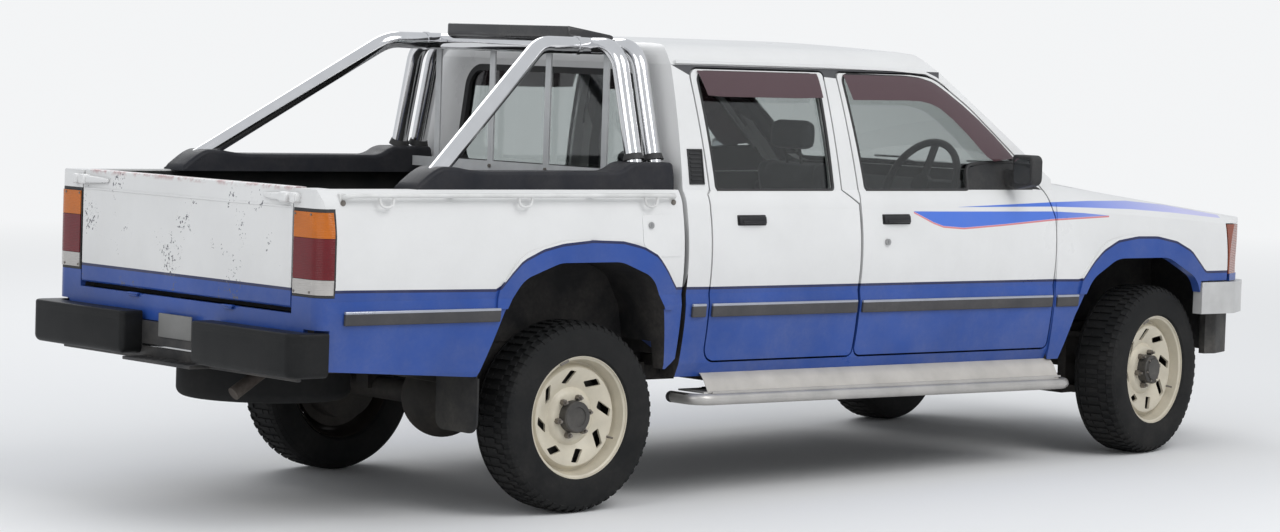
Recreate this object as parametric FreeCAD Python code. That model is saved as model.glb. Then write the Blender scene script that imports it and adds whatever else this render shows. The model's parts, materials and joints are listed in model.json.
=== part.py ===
import FreeCAD, Part
import os
import math

# A double-cab pickup truck, in mm. Lengths along the truck are measured forward
# from the rear axle, widths from the middle plane and heights from the ground.
# The body stands level here and is tipped nose-down once, when it is saved.
V = FreeCAD.Vector
os.makedirs("parts", exist_ok=True)

# Driving dimensions of the whole truck
WHEELBASE = 2985.0
REAR_END = -1252.0
FRONT_END = 3722.0
HALF_TRACK = 720.0
X_MID = (REAR_END + FRONT_END) / 2.0
RAKE_DEG = 1.43
RAKE_PIVOT_X = 1500.0
RAKE_PIVOT_Z = 700.0
STEER_REST_DEG = 11.0

# Clearances: fixed panels, opening panels and shafts in their holes
PANEL_GAP = 4.0
DOOR_GAP = 7.0
JAMB_EXTRA = 12.0
JAMB_LIP = 18.0
SHAFT_GAP = 0.05

# Wheels and tyres
TYRE_R = 341.0
TYRE_W = 205.0
HUB_Z = TYRE_R
RIM_R = 220.5
RIM_W = 178.0
HUB_R = 57.0
SLOT_R = 145.0
SLOT_LEAN = 46.0

# Body side, half widths and heights
BELT_Z = 1110.0
SILL_Z = 430.0
DOOR_LOW_Z = 480.0
DRIP_Z = 1560.0
ROOF_Z = 1658.0
DOOR_T = 62.0
FRAME_T = 30.0
CAB_WALL = 72.0
FLOOR_Z = 540.0
FLOOR_T = 35.0
RAIL_TOP_Z = FLOOR_Z - FLOOR_T - 5.0
TUNNEL_HALF = 190.0
TUNNEL_Z = 716.0

# Lengths along the body
CAB_BACK_X = 470.0
BED_FRONT_X = 448.0
BED_REAR_X = -1145.0
REAR_DOOR_BACK_X = 578.0
B_CUT_X = 1332.0
FRONT_DOOR_X = 2395.0
NOSE_X = 3640.0

# Bed
BED_FLOOR_Z = 715.0
BED_FLOOR_T = 28.0
TAILGATE_HALF = 660.0
TAILGATE_LOW_Z = 706.0
TAILGATE_T = 56.0
LINER_T = 8.0

# Steering wheel centre and the slope of its column
STEERING_X = 2090.0
STEERING_Y = -370.0
STEERING_Z = 1110.0
COLUMN_DEG = 24.0

# Frame rails
RAIL_Y = 385.0
RAIL_W = 75.0
RAIL_LOW_Z = 385.0

# Door hinges: how far behind the door's front edge, their half width and levels,
# the pillar face, and how far in the edge that swings past the pillar may reach
HINGE_BACK = 80.0
HINGE_Y = 812.0
HINGE_LEVELS = (640.0, 985.0)
HINGE_PIN_R = 5.0
PILLAR_Y = 722.0
HINGE_EDGE_Y = 773.0


# A box between two corners
def box(x0, x1, y0, y1, z0, z1):
    low = V(min(x0, x1), min(y0, y1), min(z0, z1))
    return Part.makeBox(abs(x1 - x0), abs(y1 - y0), abs(z1 - z0), low)


# The same shape on the other side of the truck
def mirrored(shape):
    return shape.mirror(V(0, 0, 0), V(0, 1, 0))


# A shape together with its mirror image
def both_sides(shape):
    return Part.makeCompound([shape, mirrored(shape)])


# One solid from several that overlap
def fused(shapes):
    first = shapes[0]
    if len(shapes) == 1:
        return first
    return first.multiFuse(shapes[1:]).removeSplitter()


# A closed outline with rounded corners, from rows of two coordinates and a radius
def rounded_outline(rows, lift):
    edges = []
    ends = []
    count = len(rows)
    for i in range(count):
        a = V(rows[i - 1][0], rows[i - 1][1], 0)
        b = V(rows[i][0], rows[i][1], 0)
        c = V(rows[(i + 1) % count][0], rows[(i + 1) % count][1], 0)
        radius = rows[i][2]
        if radius <= 0:
            ends.append((b, None, b))
            continue
        back = (a - b).normalize()
        onward = (c - b).normalize()
        half = back.getAngle(onward) / 2.0
        reach = radius / math.tan(half)
        middle = (back + onward).normalize()
        centre = b + middle * (radius / math.sin(half))
        ends.append((b + back * reach, centre - middle * radius, b + onward * reach))
    for i in range(count):
        start, bend, stop = ends[i]
        if bend is not None:
            edges.append(Part.Arc(lift(start), lift(bend), lift(stop)).toShape())
        following = ends[(i + 1) % count][0]
        if (following - stop).Length > 0.01:
            edges.append(Part.LineSegment(lift(stop), lift(following)).toShape())
    return Part.Face(Part.Wire(edges))


# A side-view outline (x, z, radius) pushed through from y0 to y1
def side_plate(rows, y0, y1):
    face = rounded_outline(rows, lambda p: V(p.x, y0, p.y))
    return face.extrude(V(0, y1 - y0, 0))


# A plan-view outline (x, y, radius) pushed up from z0 to z1
def plan_plate(rows, z0, z1):
    face = rounded_outline(rows, lambda p: V(p.x, p.y, z0))
    return face.extrude(V(0, 0, z1 - z0))


# A cross-section outline (y, z, radius) pushed along from x0 to x1
def cross_plate(rows, x0, x1):
    face = rounded_outline(rows, lambda p: V(x0, p.x, p.y))
    return face.extrude(V(x1 - x0, 0, 0))


# A straight round bar between two points
def rod(p, q, radius):
    start = V(*p)
    run = V(*q) - start
    return Part.makeCylinder(radius, run.Length, start, run)


# A bent bar through the points, with one bend radius
def bent_bar(points, radius, bend):
    corners = [V(*p) for p in points]
    edges = []
    last = corners[0]
    for i in range(1, len(corners) - 1):
        back = (corners[i - 1] - corners[i]).normalize()
        onward = (corners[i + 1] - corners[i]).normalize()
        half = back.getAngle(onward) / 2.0
        reach = bend / math.tan(half)
        middle = (back + onward).normalize()
        start = corners[i] + back * reach
        stop = corners[i] + onward * reach
        centre = corners[i] + middle * (bend / math.sin(half))
        edges.append(Part.LineSegment(last, start).toShape())
        edges.append(Part.Arc(start, centre - middle * bend, stop).toShape())
        last = stop
    edges.append(Part.LineSegment(last, corners[-1]).toShape())
    path = Part.Wire(edges)
    ring = Part.Wire(Part.makeCircle(radius, corners[0], corners[1] - corners[0]))
    return path.makePipeShell([ring], True, False)


# The body's cross-section from sill to roof, moved inward by an inset
def skin(inset, x0, x1):
    def at(y, z):
        if z > 1500:
            return V(x0, -(y - inset), z - inset)
        return V(x0, -(y - inset), z)
    side = [
        ("line", (778, SILL_Z), (800, DOOR_LOW_Z)),
        ("arc", (800, DOOR_LOW_Z), (821, 590), (833, 697)),
        ("line", (833, 697), (828, 735)),
        ("arc", (828, 735), (839, 900), (822, 1040)),
        ("arc", (822, 1040), (812, 1078), (792, BELT_Z)),
        ("arc", (792, BELT_Z), (750, 1335), (690, DRIP_Z)),
        ("line", (690, DRIP_Z), (672, 1580)),
        ("arc", (672, 1580), (636, 1614), (560, 1634)),
    ]
    edges = []
    for row in side:
        points = [at(*p) for p in row[1:]]
        if row[0] == "arc":
            edges.append(Part.Arc(*points).toShape())
        else:
            edges.append(Part.LineSegment(*points).toShape())
    right = Part.Wire(edges)
    left = mirrored(right)
    crown = Part.Arc(at(560, 1634), V(x0, 0, ROOF_Z - inset),
                     V(x0, 560 - inset, 1634 - inset)).toShape()
    base = Part.LineSegment(at(778, SILL_Z), V(x0, 778 - inset, SILL_Z)).toShape()
    outline = Part.Wire(Part.__sortEdges__(right.Edges + left.Edges + [crown, base]))
    return Part.Face(outline).extrude(V(x1 - x0, 0, 0))


# Side-view outlines of the openings and of the glass, as rows of x, z, radius
FRONT_OPENING = [
    (B_CUT_X, DOOR_LOW_Z, 40), (FRONT_DOOR_X, DOOR_LOW_Z, 30), (FRONT_DOOR_X, 1000, 60),
    (2352, BELT_Z, 20), (2217, 1238, 600), (1990, 1426, 600), (1815, 1543, 200), (1690, 1553, 0),
    (1293, 1553, 25), (1341, BELT_Z, 0), (B_CUT_X, 1060, 0),
]
REAR_OPENING = [
    (REAR_DOOR_BACK_X, DOOR_LOW_Z, 60), (B_CUT_X, DOOR_LOW_Z, 30), (B_CUT_X, 1060, 0),
    (1263, BELT_Z, 0), (1234, 1553, 25), (558, 1553, 40), (596, BELT_Z, 0),
    (REAR_DOOR_BACK_X, 1095, 0),
]
FRONT_GLASS = [
    (1383, 1108, 14), (2320, 1108, 14), (2190, 1232, 500), (1970, 1413, 500), (1796, 1524, 160),
    (1665, 1537, 0), (1322, 1540, 24),
]
REAR_GLASS = [
    (633, 1108, 14), (1217, 1108, 14), (1200, 1536, 30), (594, 1536, 40),
]


# An outline drawn in or out by a margin along its own edges
def grown(rows, margin):
    shifted = []
    count = len(rows)
    for i in range(count):
        a = V(rows[i - 1][0], rows[i - 1][1], 0)
        b = V(rows[i][0], rows[i][1], 0)
        c = V(rows[(i + 1) % count][0], rows[(i + 1) % count][1], 0)
        into = (b - a).normalize()
        out = (c - b).normalize()
        n1 = V(into.y, -into.x, 0)
        n2 = V(out.y, -out.x, 0)
        corner = n1 + n2
        step = margin * 2.0 / corner.dot(corner)
        moved = b + corner * step
        radius = rows[i][2]
        if radius > 0:
            radius = max(radius + margin, 4)
        shifted.append((moved.x, moved.y, radius))
    return shifted


# Nose-down tilt and shift of everything that sits on the springs
def tipped(shape):
    moved = shape.copy()
    moved.rotate(V(RAKE_PIVOT_X, 0, RAKE_PIVOT_Z), V(0, 1, 0), RAKE_DEG)
    moved.translate(V(-X_MID, 0, 0))
    return moved


# Shift only, for what stands on the ground with the wheels
def grounded(shape):
    moved = shape.copy()
    moved.translate(V(-X_MID, 0, 0))
    return moved


# Write one node
def save(name, shape):
    shape.exportStep("parts/" + name + ".step")


OUTER = skin(0, 420, 2700)
LIP = skin(JAMB_LIP, 420, 2700)
DOOR_INNER = skin(DOOR_T, 420, 2700)
FRAME_INNER = skin(FRAME_T, 420, 2700)
CAVITY = skin(CAB_WALL, 420, 2700)

# Windscreen surface: a plan arc pushed along the slope of the screen
SCREEN_SIDE_X = 2325.0
SCREEN_SIDE_Y = 705.0
SCREEN_CROWN = 150.0
SCREEN_REF_Z = 1223.0
SCREEN_SLOPE = 1.447


# Everything ahead of a surface that is curved in plan like the windscreen: its place at
# the screen's side at one height, and how far it runs back for each mm of height
def ahead_of(place_x, place_z, slope):
    low_z = 900.0
    high_z = 1750.0
    back = slope * (place_z - low_z)
    wide = 1000.0
    drop = SCREEN_CROWN * (wide * wide / SCREEN_SIDE_Y ** 2 - 1.0)
    side_x = place_x + back - drop
    middle_x = place_x + back + SCREEN_CROWN
    far_x = middle_x + 1500.0
    arc = Part.Arc(V(side_x, -wide, low_z), V(middle_x, 0, low_z), V(side_x, wide, low_z)).toShape()
    corners = [V(side_x, wide, low_z), V(far_x, wide, low_z), V(far_x, -wide, low_z),
               V(side_x, -wide, low_z)]
    sides = [Part.LineSegment(corners[i], corners[i + 1]).toShape() for i in range(3)]
    face = Part.Face(Part.Wire([arc] + sides))
    rise = high_z - low_z
    return face.extrude(V(-slope * rise, 0, rise))


# Everything ahead of the windscreen surface, moved forward by a shift
def ahead_of_screen(shift):
    return ahead_of(SCREEN_SIDE_X + shift, SCREEN_REF_Z, SCREEN_SLOPE)


AHEAD = ahead_of_screen(0)


# Nose envelope: three cross-sections from the cowl to the front, lofted
NOSE_SECTIONS = [
    # x, half width low, half width at moulding, half width at crease, crease z,
    # shoulder y, shoulder z, crown z
    (2400, 800, 834, 828, 1030, 700, 1142, 1180),
    (3000, 800, 834, 822, 1000, 700, 1062, 1104),
    (3640, 770, 800, 790, 950, 700, 975, 1006),
]


# One cross-section of the nose, moved inward by an inset
def nose_section(row, inset):
    x, low, mould, crease, crease_z, sh_y, sh_z, crown = row
    low -= inset
    mould -= inset
    crease -= inset
    sh_y -= inset * 0.7
    sh_z -= inset
    crown -= inset
    mid_y = (crease + sh_y) / 2 + 28
    mid_z = (crease_z + sh_z) / 2 + 12 - inset * 0.5
    right = [
        Part.LineSegment(V(x, 0, 440), V(x, -low, 440)).toShape(),
        Part.Arc(V(x, -low, 440), V(x, -(low + mould) / 2 - 6, 570), V(x, -mould, 697)).toShape(),
        Part.Arc(V(x, -mould, 697), V(x, -mould - 4, 850), V(x, -crease, crease_z)).toShape(),
        Part.Arc(V(x, -crease, crease_z), V(x, -mid_y, mid_z), V(x, -sh_y, sh_z)).toShape(),
        Part.Arc(V(x, -sh_y, sh_z), V(x, 0, crown), V(x, sh_y, sh_z)).toShape(),
        Part.Arc(V(x, sh_y, sh_z), V(x, mid_y, mid_z), V(x, crease, crease_z)).toShape(),
        Part.Arc(V(x, crease, crease_z), V(x, mould + 4, 850), V(x, mould, 697)).toShape(),
        Part.Arc(V(x, mould, 697), V(x, (low + mould) / 2 + 6, 570), V(x, low, 440)).toShape(),
        Part.LineSegment(V(x, low, 440), V(x, 0, 440)).toShape(),
    ]
    return Part.Wire(right)


# The nose envelope as a solid
def nose(inset):
    return Part.makeLoft([nose_section(row, inset) for row in NOSE_SECTIONS], True, False)


NOSE = nose(0)
NOSE_IN = nose(30)
NOSE_PLAN = [(2380, -900, 0), (3330, -900, 0), (3420, -835, 60), (3560, -770, 80),
             (NOSE_X, -600, 400), (NOSE_X + 12, 0, 0), (NOSE_X, 600, 400), (3560, 770, 80),
             (3420, 835, 60), (3330, 900, 0), (2380, 900, 0)]

# Cab: outer shell cut to its side outline and hollowed
CAB_OUTLINE = [
    (CAB_BACK_X, SILL_Z, 0), (2440, SILL_Z, 0), (2520, 620, 0), (2520, 1160, 0),
    (2300, 1400, 0), (1930, 1606, 60), (1500, 1660, 0), (900, 1660, 0),
    (500, 1636, 60), (CAB_BACK_X + 12, 1560, 0), (CAB_BACK_X, BELT_Z, 0),
]
ROOM_OUTLINE = [
    (CAB_BACK_X + 45, FLOOR_Z, 30), (2290, FLOOR_Z, 60), (2480, 720, 60), (2480, 1120, 0),
    (2300, 1400, 0), (1960, 1585, 0), (1500, 1640, 0), (900, 1640, 0), (560, 1620, 40),
    (CAB_BACK_X + 57, 1560, 0), (CAB_BACK_X + 45, BELT_Z, 0),
]
REAR_WINDOW = [(-560, 1150, 60), (560, 1150, 60), (500, 1530, 70), (-500, 1530, 70)]
SCREEN_WINDOW = [(-690, 1165, 40), (690, 1165, 40), (600, 1560, 60), (-600, 1560, 60)]


# Cut one side's door openings out of the cab, above the floor's edge
def cut_openings(shape, side):
    floor_edge = box(400, 2500, side * 500, side * PILLAR_Y, 400, FLOOR_Z)
    for rows in (FRONT_OPENING, REAR_OPENING):
        outer = side_plate(rows, side * 560, side * 900)
        wide = side_plate(grown(rows, JAMB_EXTRA), side * 560, side * 900).common(LIP)
        shape = shape.cut(outer.cut(floor_edge))
        shape = shape.cut(wide.cut(floor_edge))
    return shape


# The right-hand hinge straps and pins that stand on a pillar, for one door
def hinge_straps(front_edge_x):
    axis_x = front_edge_x - HINGE_BACK
    parts = []
    for z in HINGE_LEVELS:
        parts.append(box(axis_x - 7, axis_x + 7, -PILLAR_Y + 1, -HINGE_Y - 6, z - 12, z + 12))
        parts.append(rod((axis_x, -HINGE_Y, z - 30), (axis_x, -HINGE_Y, z + 30), HINGE_PIN_R))
    return parts


# The room those straps need inside a right-hand door, with the holes for their pins
def hinge_room(front_edge_x):
    axis_x = front_edge_x - HINGE_BACK
    parts = []
    for z in HINGE_LEVELS:
        parts.append(box(axis_x - 14, front_edge_x, -700, -HINGE_Y - 12, z - 18, z + 18))
        parts.append(rod((axis_x, -HINGE_Y, z - 35), (axis_x, -HINGE_Y, z + 35), HINGE_PIN_R + SHAFT_GAP))
    parts.append(box(axis_x + 4, front_edge_x, -500, -HINGE_EDGE_Y, 400, 1085))
    return fused(parts)


cab_solid = side_plate(CAB_OUTLINE, -900, 900).common(OUTER).cut(AHEAD)
fender_back = FRONT_DOOR_X + PANEL_GAP - 0.3
behind_fender = fused([box(fender_back, 2700, -900, 900, 300, 1115),
                       box(fender_back, 2700, -900, -722, 1100, 1300),
                       box(fender_back, 2700, 722, 900, 1100, 1300)])
cab_solid = cab_solid.cut(behind_fender.cut(nose(30.3)))
cab_room = side_plate(ROOM_OUTLINE, -900, 900).common(CAVITY).cut(ahead_of_screen(-60))
cab = cab_solid.cut(cab_room)
cab = cut_openings(cab, -1)
cab = cut_openings(cab, 1)
cab = cab.cut(box(400, 2600, -700, 700, SILL_Z - 10, FLOOR_Z - FLOOR_T))
tunnel = box(1480, 2520, -TUNNEL_HALF, TUNNEL_HALF, FLOOR_Z - FLOOR_T, TUNNEL_Z)
tunnel_hole = box(1400, 2600, -TUNNEL_HALF + 12, TUNNEL_HALF - 12, 400, TUNNEL_Z - 12)
cab = cab.fuse(tunnel).cut(tunnel_hole.common(box(1492, 2600, -300, 300, 400, 800)))
cab = cab.cut(cross_plate(REAR_WINDOW, CAB_BACK_X - 60, CAB_BACK_X + 90))
cab = cab.cut(cross_plate(SCREEN_WINDOW, 1800, 2700))
pillars = []
for edge_x in (FRONT_DOOR_X, B_CUT_X):
    pillar_x = edge_x - HINGE_BACK
    pillars.append(box(pillar_x - 40, pillar_x + 110, -PILLAR_Y, -PILLAR_Y + 42, FLOOR_Z - 5, 1100))
    pillars += hinge_straps(edge_x)
b_post = side_plate([(1274, 1122, 0), (1330, 1122, 0), (1284, 1570, 0), (1244, 1570, 0)], -800, -600)
pillars.append(b_post.common(FRAME_INNER).cut(CAVITY))
for pillar in pillars:
    cab = cab.fuse(pillar).fuse(mirrored(pillar))
cab = cab.removeSplitter()
save("cab_shell", tipped(cab))

# Fixed glass
screen_band = ahead_of_screen(-14).cut(ahead_of_screen(-8)).common(skin(40, 420, 2700))
screen = screen_band.common(cross_plate(SCREEN_WINDOW, 1800, 2700))
rear_pane = cross_plate(REAR_WINDOW, CAB_BACK_X + 20, CAB_BACK_X + 25)
save("cab_glass", tipped(Part.makeCompound([screen, rear_pane])))


# One right-hand door: a lower panel as thick as the door, and a window frame
def door(rows, glass, front_edge_x):
    outline = side_plate(grown(rows, -DOOR_GAP), -560, -900)
    low = outline.common(box(0, 3000, -900, -500, 0, BELT_Z)).common(OUTER).cut(DOOR_INNER)
    high = outline.common(box(0, 3000, -900, -500, BELT_Z - 5, 1700)).common(OUTER).cut(FRAME_INNER)
    hole = side_plate(glass, -560, -900)
    panel = fused([low, high]).cut(hole)
    return panel.cut(hinge_room(front_edge_x))


# The pane in one right-hand door
def pane(glass):
    hole = side_plate(glass, -560, -900)
    return hole.common(skin(16, 420, 2700)).cut(skin(20, 420, 2700))


# A door mirror on a chunky arm, and the sail plate in the corner of the window
SAIL = [(1931, 1104, 6), (2340, 1104, 0), (2212, 1216, 0), (2042, 1214, 12), (1931, 1190, 22)]
SAIL_GAP = 0.4
sail = side_plate(SAIL, -560, -900).common(side_plate(grown(FRONT_GLASS, 2), -560, -900))
sail = sail.common(skin(2, 420, 2700)).cut(skin(20, 420, 2700))
MIRROR_FACE = [(-832, 1112, 16), (-945, 1136, 30), (-945, 1250, 26), (-832, 1250, 12)]
mirror_case = cross_plate(MIRROR_FACE, 2128, 2186)
mirror_case = mirror_case.makeFillet(9, mirror_case.Edges)
mirror_arm = side_plate([(2138, 1122, 10), (2182, 1122, 10), (2178, 1188, 14), (2140, 1188, 14)], -770, -838)
mirror = fused([mirror_case, mirror_arm.cut(skin(18, 420, 2700)), sail])

DOORS = [
    ("front", FRONT_OPENING, FRONT_GLASS, FRONT_DOOR_X),
    ("rear", REAR_OPENING, REAR_GLASS, B_CUT_X),
]
for place, opening, glass, edge_x in DOORS:
    panel = door(opening, glass, edge_x)
    glazing = pane(glass)
    if place == "front":
        panel = panel.fuse(mirror)
        glazing = glazing.cut(side_plate(grown(SAIL, SAIL_GAP), -560, -900))
    save("door_" + place + "_right", tipped(panel))
    save("door_" + place + "_left", tipped(mirrored(panel)))
    save("glass_" + place + "_right", tipped(glazing))
    save("glass_" + place + "_left", tipped(mirrored(glazing)))

BONNET_Y = 725.0
BONNET_BACK_X = 2500.0
BONNET_FRONT_X = 3600.0

# Tailgate pins
GATE_X = BED_REAR_X + 24.0
GATE_Z = TAILGATE_LOW_Z + 12.0
GATE_PIN_R = 6.0
GATE_ROOM = 6.0
GATE_CREASE_Z = 1045.0

# Front wheel arch, as rows of x, z, radius
FRONT_ARCH = [(WHEELBASE + x, z, r) for x, z, r in (
    (-545, 380, 0), (-465, 610, 80), (-385, 760, 120), (-245, 838, 150), (65, 838, 150),
    (245, 752, 120), (305, 640, 60), (320, 380, 0))]
FRONT_LIP = [(WHEELBASE + x, z, r) for x, z, r in (
    (-455, 700, 0), (-440, 765, 0), (-325, 905, 150), (-185, 930, 150), (65, 930, 150),
    (235, 880, 150), (320, 760, 0), (320, 640, 0))]
nose_plan = plan_plate(NOSE_PLAN, 300, 1300)
nose_shell = NOSE.cut(NOSE_IN).common(nose_plan)
fender_side = -BONNET_Y - PANEL_GAP
fender_zone = fused([box(FRONT_DOOR_X + PANEL_GAP, 3440, -900, fender_side, 430, 1300),
                     box(3430, 3600, -900, fender_side, 972, 1300)])
fender = nose_shell.common(fender_zone)
fender_lip = side_plate(FRONT_LIP, -900, -780).common(nose(-9)).cut(NOSE)
fender = fused([fender, fender_lip]).cut(side_plate(FRONT_ARCH, -900, -600))
fender = fender.cut(box(3262, 3700, -900, -600, 300, 738))
save("front_fenders", tipped(both_sides(fender)))

# Bonnet
BONNET_SET = 110.0
BONNET_HINGE_X = 2590.0
BONNET_HINGE_Z = 1088.0
bonnet_zone = box(2400, BONNET_FRONT_X, -BONNET_Y + 3, BONNET_Y - 3, 900, 1300)
bonnet_zone = bonnet_zone.common(ahead_of_screen(BONNET_SET))
bonnet = nose_shell.common(bonnet_zone).common(box(2400, 3700, -800, 800, 930, 1300))
hinge_lug = box(BONNET_HINGE_X - 12, BONNET_HINGE_X + 30, -676, -660, BONNET_HINGE_Z - 14, 1150)
hinge_lug = hinge_lug.common(nose(4))
hinge_slot = box(BONNET_HINGE_X - 60, BONNET_HINGE_X + 60, -657, -630, 1000, BONNET_HINGE_Z + 20)
hinge_hole = rod((BONNET_HINGE_X, -700, BONNET_HINGE_Z), (BONNET_HINGE_X, -600, BONNET_HINGE_Z), 6.05)
bonnet = bonnet.fuse(hinge_lug).fuse(mirrored(hinge_lug))
for tool in (hinge_slot, hinge_hole):
    bonnet = bonnet.cut(tool).cut(mirrored(tool))
save("bonnet", tipped(bonnet))

# Cowl panel, engine bay walls and the posts of the bonnet's hinges
cowl = nose_shell.common(box(2400, 2900, -BONNET_Y + 3, BONNET_Y - 3, 1000, 1300))
cowl = cowl.cut(ahead_of_screen(BONNET_SET - 22)).common(AHEAD)
lug_room = box(BONNET_HINGE_X - 40, BONNET_HINGE_X + 150, -735, -622, 1000, 1300)
cowl = cowl.cut(lug_room).cut(mirrored(lug_room))
bay_wall = side_plate([(2520, 560, 0), (3440, 560, 0), (3440, 900, 0), (2630, 1010, 0), (2630, 1130, 0),
                       (2575, 1130, 0), (2560, 1010, 0), (2520, 1010, 0)], -412, -394).common(nose(20))
front_wall = box(3430, 3458, -700, 700, 610, 900)
hinge_post = box(BONNET_HINGE_X - 12, BONNET_HINGE_X + 12, -652, -640, 960, BONNET_HINGE_Z + 8)
hinge_foot = box(BONNET_HINGE_X - 12, BONNET_HINGE_X + 12, -652, -400, 960, 975)
hinge_pin = rod((BONNET_HINGE_X, -678, BONNET_HINGE_Z), (BONNET_HINGE_X, -640, BONNET_HINGE_Z), 6)
right_hinge = [hinge_post, hinge_foot, hinge_pin]
save("front_structure", tipped(fused([cowl, bay_wall, mirrored(bay_wall), front_wall] + right_hinge
     + [mirrored(part) for part in right_hinge])))

# Front panel with the grille opening, and the lamps beside it
nose_block = NOSE.common(nose_plan)
front_panel = nose_block.common(box(3460, 3700, -900, 900, 735, 1300))
front_panel = front_panel.cut(box(3460, 3560, -700, 700, 735, 960))
over_lamp = box(3400, 3700, -900, -BONNET_Y + 3, 965, 1300)
front_panel = front_panel.cut(bonnet_zone).cut(over_lamp).cut(mirrored(over_lamp))
grille_hole = box(3550, 3700, -440, 440, 770, 940)
lamp_hole = box(3540, 3700, -700, -455, 768, 945)
corner_hole = box(3448, 3700, -900, -712, 765, 968)
front_panel = front_panel.cut(grille_hole).cut(lamp_hole).cut(mirrored(lamp_hole))
front_panel = front_panel.cut(corner_hole).cut(mirrored(corner_hole))
grille_bars = [box(3562, 3620, -441, 441, z, z + 10) for z in (778, 806, 834, 862, 890, 918)]
grille_posts = [box(3564, 3616, y - 6, y + 6, 769, 941) for y in (-434, -220, 0, 220, 434)]
save("front_panel", tipped(fused([front_panel] + grille_bars + grille_posts)))

headlamp = nose_block.common(box(3540, 3700, -700, -455, 768, 945)).cut(bonnet_zone)
corner_lamp = nose_block.common(box(3448, 3700, -900, -712, 765, 968)).cut(NOSE_IN).cut(bonnet_zone)
save("front_lamps", tipped(both_sides(Part.makeCompound([headlamp, corner_lamp]))))

# Front bumper and the dark valance under it
BUMPER_PLAN = [(3270, -838, 0), (3470, -838, 60), (3640, -740, 120), (FRONT_END, -420, 500),
               (FRONT_END, 420, 500), (3640, 740, 120), (3470, 838, 60), (3270, 838, 0),
               (3270, 790, 0), (3440, 790, 40), (3600, 690, 100), (3662, 400, 400),
               (3662, -400, 400), (3600, -690, 100), (3440, -790, 40), (3270, -790, 0)]
bumper = plan_plate(BUMPER_PLAN, 602, 732)
VALANCE_PLAN = [(3386, -760, 0), (3440, -770, 40), (3608, -694, 100), (3672, -400, 400),
                (3672, 400, 400), (3608, 694, 100), (3440, 770, 40), (3386, 760, 0),
                (3386, 730, 0), (3420, 735, 20), (3560, 660, 80), (3615, 400, 300),
                (3615, -400, 300), (3560, -660, 80), (3420, -735, 20), (3386, -730, 0)]
valance = plan_plate(VALANCE_PLAN, 430, 603)
front_bumper = fused([bumper, valance])
save("front_bumper", tipped(front_bumper))

# Bed: outer walls, floor, wheelhouses
REAR_ARCH = [(-470, 400, 0), (-362, 690, 90), (-290, 800, 110), (-130, 856, 150), (150, 856, 150),
             (300, 800, 110), (366, 680, 90), (412, 400, 0)]
REAR_LIP = [(-400, 700, 0), (-392, 765, 0), (-300, 890, 130), (-110, 934, 150), (150, 934, 150),
            (320, 890, 130), (418, 762, 0), (400, 680, 0)]
BED_SIDE = [(BED_REAR_X, 640, 0), (-1100, 640, 0), (-1100, 500, 0), (-470, 462, 0), (412, 462, 0),
            (BED_FRONT_X, 500, 0), (BED_FRONT_X, BELT_Z, 0), (BED_REAR_X, BELT_Z, 0)]
BED_PLAN = [(BED_REAR_X, -650, 0), (BED_REAR_X, -822, 55), (-1040, -845, 0), (BED_FRONT_X, -845, 0),
            (BED_FRONT_X, 845, 0), (-1040, 845, 0), (BED_REAR_X, 822, 55), (BED_REAR_X, 650, 0)]
bed_skin = skin(0, BED_REAR_X - 20, BED_FRONT_X)
bed_solid = side_plate(BED_SIDE, -900, 900).common(bed_skin).common(plan_plate(BED_PLAN, 300, 1300))
load_space = box(BED_REAR_X - 50, BED_FRONT_X - 45, -740, 740, BED_FLOOR_Z, 1300)
under_floor = box(BED_REAR_X + 18, BED_FRONT_X + 50, -740, 740, 300, BED_FLOOR_Z - BED_FLOOR_T)
rear_panel = box(BED_REAR_X, BED_REAR_X + 18, -740, 740, 600, TAILGATE_LOW_Z - 18)
bed = bed_solid.cut(load_space).cut(under_floor)
house = side_plate([(-430, BED_FLOOR_Z - 5, 0), (-405, 800, 80), (-250, 890, 120), (250, 890, 120),
                    (385, 800, 80), (394, BED_FLOOR_Z - 5, 0)], -745, -560)
house_low = box(-440, 425, -745, -560, 560, BED_FLOOR_Z - BED_FLOOR_T + 2)
post = box(BED_REAR_X, BED_REAR_X + 95, -745, -TAILGATE_HALF - 7, BED_FLOOR_Z - 2, BELT_Z)
post = post.common(plan_plate(BED_PLAN, 300, 1300))
bed_lip = side_plate(REAR_LIP, -900, -780).common(skin(-9, -500, 500)).cut(bed_skin)
for side_part in (house, house_low, post, bed_lip):
    bed = bed.fuse(side_part).fuse(mirrored(side_part))
well = side_plate(REAR_ARCH, -900, -575)
bed = bed.cut(well).cut(mirrored(well))
bed = bed.cut(box(BED_REAR_X - 50, BED_REAR_X + TAILGATE_T + GATE_ROOM, -TAILGATE_HALF - 7,
                  TAILGATE_HALF + 7, 560, 1300)).fuse(rear_panel)
lamp_pocket = box(BED_REAR_X - 50, BED_REAR_X + 60, -900, -TAILGATE_HALF - 7, 748, 1046)
bed = bed.cut(lamp_pocket).cut(mirrored(lamp_pocket))
gate_pin = rod((GATE_X, -TAILGATE_HALF - 40, GATE_Z), (GATE_X, -TAILGATE_HALF + 30, GATE_Z), GATE_PIN_R)
bed = bed.fuse(gate_pin).fuse(mirrored(gate_pin))
bed = bed.removeSplitter()
save("bed", tipped(bed))

# Tail lamps fill the pockets in the corner posts
lamp_shape = box(BED_REAR_X, BED_REAR_X + 60, -900, -TAILGATE_HALF - 9, 749, 1045)
tail_lamp = lamp_shape.common(bed_skin).common(plan_plate(BED_PLAN, 300, 1300))
save("tail_lamps", tipped(both_sides(tail_lamp)))

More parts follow.
